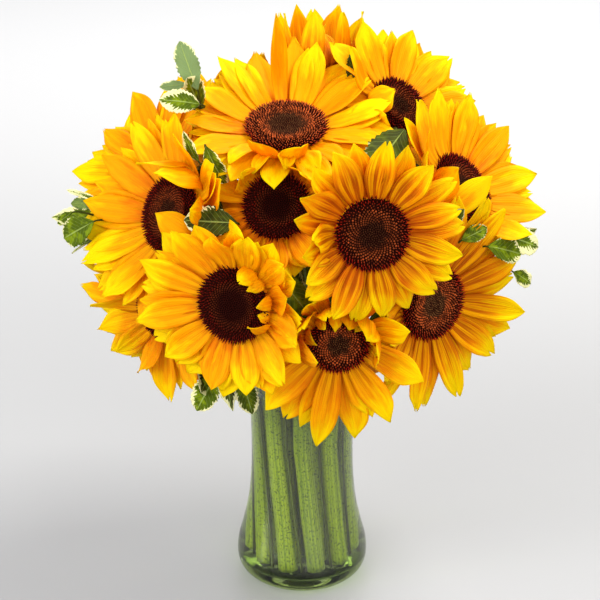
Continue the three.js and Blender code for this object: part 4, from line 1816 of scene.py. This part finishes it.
    def bracts(self) -> bpy.types.Object:
        """The bracts that wrap the cup, in four rows.

        Returns:
            The new object.
        """
        rows = range(len(Calyx().rows(self.plan.disc)))
        placed = [self.bract(number, index) for number in rows for index in range(Calyx.bracts)]
        tones = [wobble(self.seed, i, 9) for i in range(len(placed))]
        return self.blanks.bract.repeated("bracts", np.array(placed), kind=1.0, tone=tones)


# Foliage


@dataclass(frozen=True)
class LeafShape:
    """The sizes and the fine form that leaves share."""

    thickness: float = 0.45
    arch: float = 0.14
    twig_share: float = 0.45
    lean: float = 52
    slender: float = 0.29
    teeth: int = 11
    cut: float = 0.16
    ripple: float = 1.1
    veins: float = 0.35
    columns: int = 10
    rows: int = 33
    turns: tuple = (0, 30, -30, 60, -60, 95, -95, 135, 180)
    pitches: tuple = (0, -20, 20, -38, 38)
    sizes: tuple = (1, 0.85, 0.7)
    outline: tuple = (
        (0, 0.07), (0.1, 0.36), (0.24, 0.74), (0.44, 0.98), (0.62, 0.92), (0.8, 0.62), (0.92, 0.3),
        (1, 0.03),
    )
    blunt_outline: tuple = (
        (0, 0.06), (0.1, 0.34), (0.26, 0.72), (0.46, 0.97), (0.64, 0.98), (0.8, 0.8), (0.92, 0.48),
        (1, 0.06),
    )


@dataclass(frozen=True)
class Leaf:
    """One leaf: where its base is, the ways along, across and out of its face, and its sizes."""

    SHAPE: ClassVar[LeafShape] = LeafShape()

    seed: tuple[int, int]
    spot: np.ndarray
    outward: np.ndarray
    side: np.ndarray
    length: float
    droop: float
    broad: float = 1.0
    blunt: bool = False

    @classmethod
    def on_twig(
        cls, plan: SprayPlan, path: np.ndarray, index: int, turn: float, pitch: float, size: float
    ) -> "Leaf":
        """A leaf that the part may have.

        Args:
            plan: The spray's plan.
            path: The points of its twig.
            index: The leaf's number on the twig.
            turn: How much further it is turned round the twig, in degrees.
            pitch: How much more it leans away from the twig, in degrees.
            size: The share of its length that is left.

        Returns:
            The leaf.
        """
        shape = cls.SHAPE
        seed = (40 + SPRAYS.index(plan), index)
        draw = [wobble(*seed, channel) for channel in range(5)]
        share = 1 - shape.twig_share * (index / plan.leaves) ** 1.2
        along = unit(path[-1] - path[-3])
        azimuth = math.radians(137.5 * index + 40 * draw[1] + turn)
        level = unit(np.cross(UP, along))
        across = turned_about(level[None], along[None], np.array([azimuth]))[0]
        lean = math.radians(12 + pitch / 3 if index == 0 else shape.lean + 12 * draw[2] + pitch)
        return cls(
            seed,
            spline_point(path[2:], min(share, 0.985), 0.5),
            along * math.cos(lean) + across * math.sin(lean),
            unit(np.cross(along, across)),
            plan.leaf * size * (1 + 0.12 * draw[3]),
            0.16 + 0.1 * draw[4],
        )

    @classmethod
    def shown(cls, plan: LeafPlan, seed: tuple[int, int]) -> "Leaf":
        """A leaf that shows between the blooms.

        Args:
            plan: Its plan.
            seed: The seed of its noise.

        Returns:
            The leaf.
        """
        base = np.array(plan.base, float)
        way = np.array(plan.tip) - base
        outward = unit(way)
        side = unit(np.cross(Place.facing(base, plan.faces).outward, outward))
        return cls(seed, base, outward, side, float(np.linalg.norm(way)) / 1.1, plan.droop, plan.broad, True)

    @property
    def face(self) -> np.ndarray:
        """The way out of the leaf's face."""
        return np.cross(self.outward, self.side)

    def draw(self, channel: int) -> float:
        """The leaf's own seeded noise."""
        return wobble(*self.seed, channel)

    def midrib(self, s: np.ndarray) -> np.ndarray:
        """The points of the midrib at shares of its length."""
        ahead = np.outer(1.1 * self.length * s, self.outward)
        return self.spot + ahead - np.outer(self.droop * self.length * s * s, self.face)

    def points(self, sheet: Sheet) -> np.ndarray:
        """A sheet's points laid along the leaf, its edge cut into teeth.

        Args:
            sheet: The sheet.

        Returns:
            The points.
        """
        shape = self.SHAPE
        s, w = sheet.along, sheet.across
        tooth = (s * shape.teeth) % 1.0
        cut = 1 - shape.cut * np.abs(w) ** 4 * tooth * eased(0.12, 0.3, s)
        outline = shape.blunt_outline if self.blunt else shape.outline
        half = self.length * shape.slender * self.broad * through(outline, s) * cut
        rise = shape.arch * half * np.abs(w) ** 1.3
        wave = np.sin(2 * math.pi * (2.1 * s + self.draw(5)) + 1.4 * np.sign(w))
        rise = rise + shape.ripple * wave * w * w * eased(0.05, 0.3, s) * eased(1, 0.8, s)
        veins = np.cos(2 * math.pi * (shape.teeth * s - 2 * np.abs(w)))
        rise = rise + shape.veins * veins * (1 - np.abs(w)) * np.abs(w)
        half_thick = shape.thickness / 2 * (1 - 0.5 * np.abs(w)) * (1 + 1.2 * np.exp(-((w / 0.15) ** 2)))
        lift = (rise + half_thick * sheet.face)[:, None] * self.face
        return self.midrib(s) + np.outer(half * w, self.side) + lift


class Spray:
    """Builds one spray of foliage in the place of its CAD node."""

    CAD_TWIG = 1.5 * np.linspace(1.3, 0.75, Stem.bends + 3)
    TWIG = (1.1, 0.9)
    STALK = (0.95, 0.6)
    # Twig and stalks take a tone that the leaf finish turns to dark olive: painted shade, so that they read
    # as shadow between the stems.
    PAINTED_SHADE_TONE = -1.5

    def __init__(self, plan: SprayPlan, blanks: "Blanks", finishes: "Finishes") -> None:
        """Takes what the spray is made from, and finds the way of its twig.

        Args:
            plan: Its plan.
            blanks: The blanks that sprays share.
            finishes: The finishes that they share.
        """
        self.plan = plan
        self.node = f"spray_{plan.name}"
        self.blanks = blanks
        self.finishes = finishes
        stem = Stem()
        pull = stem.found(plan, self.node, self.CAD_TWIG, sides=4)
        self.coarse = stem.path(plan, pull, stem.bends)
        self.path = stem.path(plan, pull, stem.fine_bends)

    def build(self) -> None:
        """Builds the twig and its leaves."""
        spray = joined(f"foliage_{self.plan.name}", [self.twig(), *self.leaves(), *self.shown()])
        finished(spray, self.finishes.leaf, self.node)

    def tapered(self, blank: Tube, path: np.ndarray, radii: tuple[float, float]) -> np.ndarray:
        """A tube's points along a path, from one radius to another."""
        return blank.wrapped(carried(path, self.plan.place), np.linspace(*radii, len(path))[blank.row])

    def twig(self) -> bpy.types.Object:
        """The twig.

        Returns:
            The new object.
        """
        blank = self.blanks.twig
        points = self.tapered(blank, resampled(self.path, blank.row.max() + 1), self.TWIG)
        return blank.repeated("twig", points[None], kind=0.0, tone=self.PAINTED_SHADE_TONE)

    def leaves(self) -> list[bpy.types.Object]:
        """The leaves that the part has, as one mesh.

        Returns:
            The new object, or nothing.
        """
        corners = CadPoints(self.node)
        shape = Leaf.SHAPE
        found = []
        for index in range(self.plan.leaves):
            tried = [
                Leaf.on_twig(self.plan, self.coarse, index, turn, pitch, size)
                for size in shape.sizes
                for pitch in shape.pitches
                for turn in shape.turns
            ]
            best = corners.best(tried)
            if best:
                found.append(best)
        log.info("%s has %d leaves", self.node, len(found))
        return self.grown("leaves", found, 1.0, [leaf.draw(6) for leaf in found])

    def shown(self) -> list[bpy.types.Object]:
        """The leaves that show between the blooms, and their stalks.

        Returns:
            The new objects, if any.
        """
        plans = self.plan.shown
        if not plans:
            return []
        leaves = [Leaf.shown(plan, (60 + SPRAYS.index(self.plan), k)) for k, plan in enumerate(plans)]
        stalks = np.array([self.stalk(leaf) for leaf in leaves])
        return [
            *self.grown("shown", leaves, [plan.cream for plan in plans], [plan.tone for plan in plans]),
            self.blanks.stalk.repeated("stalks", stalks, kind=0.0, tone=self.PAINTED_SHADE_TONE),
        ]

    def grown(self, name: str, leaves: Sequence[Leaf], kind: Mark, tone: Mark) -> list[bpy.types.Object]:
        """Some leaves as one mesh, if there are any.

        Args:
            name: The name of the mesh.
            leaves: The leaves.
            kind: How much cream they have.
            tone: The shade of each.

        Returns:
            The mesh, or nothing.
        """
        if not leaves:
            return []
        points = np.array([leaf.points(self.blanks.leaf) for leaf in leaves])
        return [self.blanks.leaf.repeated(name, points, kind=kind, tone=tone)]

    def stalk(self, leaf: Leaf) -> np.ndarray:
        """The stalk that runs from the twig to a leaf.

        Args:
            leaf: The leaf.

        Returns:
            Its points.
        """
        blank = self.blanks.stalk
        start = self.path[np.linalg.norm(self.path - leaf.spot, axis=1).argmin()]
        end = leaf.spot + leaf.outward
        bend = leaf.spot - leaf.outward * np.linalg.norm(end - start) * 0.2
        t = np.linspace(0, 1, blank.row.max() + 1)[:, None]
        line = (1 - t) ** 2 * start + 2 * t * (1 - t) * bend + t * t * end
        return self.tapered(blank, line, self.STALK)


# Glass, water and what they stand on


@dataclass(frozen=True)
class Vase:
    """The flared glass vase and the water in it."""

    wall: float = 2.5
    floor: float = 12
    corner: float = 7
    sides: int = 96
    level: float = 160
    overlap: float = 0.2
    punt: float = 3.2
    hollow: float = 36
    lip: tuple = ((-0.25, 0.8), (-0.9, 1.3), (-1.6, 1.35), (-2.2, 0.9))
    meniscus: tuple = ((0.15, 1.1), (-0.5, 0.5), (-1.4, 0.12), (-3, 0))
    outside: tuple = (
        (38, 0), (45, 3.5), (49.4, 11), (49.4, 24), (45.2, 41), (40.8, 63),
        (38.6, 92), (38.6, 122), (40, 150), (45.2, 170), (53, 189),
    )

    def outer(self) -> list[tuple[float, float]]:
        """The outside of the glass from the foot's edge up to the lip."""
        points = [np.array(p, float) for p in self.outside]
        return [tuple(spline_point(points, share, 0)) for share in np.linspace(0, 1, 49)]

    def inner(self, top: float, gap: float) -> list[tuple[float, float]]:
        """The inside of the glass from the middle of its floor up to a height.

        Args:
            top: The height at which it ends.
            gap: How far it is drawn in from the glass.

        Returns:
            The (radius, height) of each ring.
        """
        shrink = self.wall + gap
        wall = [(r - shrink, z) for r, z in self.outer() if self.floor + self.corner < z < top - 1]
        start = wall[0][0]
        low, rise = self.floor + gap, wall[0][1] - self.floor - gap
        arc = [
            (start - self.corner * (1 - math.sin(a)), low + rise * (1 - math.cos(a)))
            for a in np.linspace(0, math.pi / 2, 7)[:-1]
        ]
        return [(2, low), (start * 0.5, low), *arc, *wall]

    def build(self, finishes: "Finishes") -> None:
        """Builds the glass and the water.

        Args:
            finishes: The finishes to dress them in.
        """
        outer = self.outer()
        radius, top = outer[-1]
        lip = [(radius + out, top + up) for out, up in self.lip]
        hollow = [(self.hollow * k, self.punt * (1 - k**2.4)) for k in (0.25, 0.45, 0.62, 0.78, 0.9, 1)]
        glass = self.smooth("glass", [(2, self.punt), *hollow, *outer, *lip, *self.inner(top, 0)[::-1]])
        finished(glass, finishes.glass, "vase")
        edge = self.inner(self.level, -self.overlap)
        surface = [(edge[-1][0] + out, self.level + up) for out, up in self.meniscus]
        water = self.smooth("water_body", [*edge, *surface, (2, self.level)])
        finished(water, finishes.water, "water")

    def smooth(self, name: str, profile: Sequence[tuple[float, float]]) -> bpy.types.Object:
        """A turned piece, shaded smooth but for its sharp edges.

        Args:
            name: Its name.
            profile: The (radius, height) of each ring.

        Returns:
            The new object.
        """
        piece = turned(name, profile, self.sides)
        activate(piece)
        bpy.ops.object.shade_smooth_by_angle(angle=math.radians(35))
        return piece


@dataclass(frozen=True)
class Studio:
    """The table, the soft light, and the camera at the photograph's angle."""

    camera_at: tuple = (-0.0016, -1.272, 0.7912)
    pitch: float = 24
    lens: float = 114
    lit: tuple = (0, 0, 0.25)
    sky: tuple = (0.98, 0.99, 1.0, 1)
    sky_light: float = 0.55
    table: float = 12

    def build(self) -> None:
        """Builds all that isn't part of the object."""
        self.build_table()
        self.lamp("key", (0.9, 0.2, 2.0), (1.0, 1.0), 47, (1.0, 0.98, 0.94))
        self.lamp("fill", (-1.5, -1.5, 1.7), (1.8, 1.8), 40, (0.99, 0.99, 1.0))
        self.lamp("front", (0.8, -2.1, 1.2), (1.4, 1.4), 34, (1.0, 0.99, 0.97))
        self.lamp("window", (-1.3, -0.4, 0.45), (0.3, 0.7), 7, (1.0, 1.0, 1.0))
        self.lamp("back", (0.2, 2.6, 2.2), (2.6, 1.2), 36, (1.0, 1.0, 1.0))
        self.build_sky()
        self.build_camera()

    def build_table(self) -> None:
        """Builds the table top, which is only for the pictures."""
        deselect()
        bpy.ops.mesh.primitive_plane_add(size=self.table, location=(0, 0, 0))
        table = bpy.context.object
        table.name = table.data.name = "table_top"
        table.data.materials.append(TableFinish().material())

    def build_sky(self) -> None:
        """Builds the light that comes from all round."""
        world = bpy.data.worlds.new("studio")
        world.use_nodes = True
        colour, strength, *_ = world.node_tree.nodes["Background"].inputs
        colour.default_value = self.sky
        strength.default_value = self.sky_light
        bpy.context.scene.world = world
        bpy.context.scene.view_settings.view_transform = "Standard"

    def build_camera(self) -> None:
        """Builds the camera."""
        data = bpy.data.cameras.new("camera")
        data.lens = self.lens
        camera = bpy.data.objects.new("camera", data)
        camera.location = self.camera_at
        camera.rotation_euler = (math.radians(90 - self.pitch), 0, 0)
        bpy.context.scene.collection.objects.link(camera)
        bpy.context.scene.camera = camera

    def lamp(self, name: str, at: tuple, size: tuple, power: float, colour: tuple) -> None:
        """Adds a rectangular lamp that points at the flowers.

        Args:
            name: The name of the lamp.
            at: Its place.
            size: Its width and height.
            power: Its power in watts.
            colour: The colour of its light.
        """
        data = bpy.data.lights.new(name, "AREA")
        data.shape, data.energy, data.color = "RECTANGLE", power, colour
        data.size, data.size_y = size
        lamp = bpy.data.objects.new(name, data)
        lamp.location = at
        lamp.rotation_euler = (Vector(self.lit) - Vector(at)).to_track_quat("-Z", "Y").to_euler()
        bpy.context.scene.collection.objects.link(lamp)


class Blanks:
    """The blanks that blooms and sprays share, each modelled once."""

    def __init__(self) -> None:
        """Models the blanks."""
        petal, leaf = Petal.SHAPE, Leaf.SHAPE
        self.petal = Sheet(petal.columns, petal.rows)
        self.leaf = Sheet(leaf.columns, leaf.rows)
        self.bract = Sheet(columns=4, rows=9)
        self.stem = Tube(sides=24, rows=78)
        self.twig = Tube(sides=8, rows=60)
        self.stalk = Tube(sides=6, rows=10)
        self.plate = Tube(sides=40, rows=5)
        self.bed = Tube(sides=32, rows=6)
        self.spike = self.floret(waist=0.6, shoulder=0.5, flare=0.8, crown=0.16)
        self.bud = self.floret(waist=0.75, shoulder=0.72, flare=1.0, crown=0.4)

    @staticmethod
    def floret(waist: float, shoulder: float, flare: float, crown: float) -> Blank:
        """Models a floret: a five-sided bud that narrows again to its top.

        Args:
            waist: Its radius at the foot.
            shoulder: How high its widest ring is.
            flare: The radius of that ring.
            crown: The radius of its top.

        Returns:
            The blank, 1 high and about 1 in radius.
        """
        profile = ((waist, 0), (flare, shoulder), (crown, 1))
        return Blank(turned("floret", profile, sides=5, scale=1))


class Finishes:
    """The materials, each made once."""

    def __init__(self) -> None:
        """Makes the materials."""
        self.petal = PetalFinish().material()
        self.disc = DiscFinish().material()
        self.stem = StemFinish().material()
        self.leaf = LeafFinish().material()
        # The glass's foot is tinted this green: partly the thick glass's own green, partly a painted
        # reflection of the stems above it.
        green = ink(128, 148, 72)
        self.glass = ClearFinish("glass", (0.94, 0.985, 0.93, 1), 1.42, 0.3, green).material()
        self.water = ClearFinish("water", (0.96, 0.975, 0.78, 1), 1.333, 0.1).material()


def main() -> None:
    """Builds the studio, the vase, the blooms and the foliage."""
    logging.basicConfig(level=logging.INFO, format="%(message)s")
    Studio().build()
    finishes = Finishes()
    blanks = Blanks()
    Vase().build(finishes)
    for plan in BLOOMS:
        Bloom(plan, blanks, finishes).build()
    for plan in SPRAYS:
        Spray(plan, blanks, finishes).build()


if __name__ == "__main__":
    main()
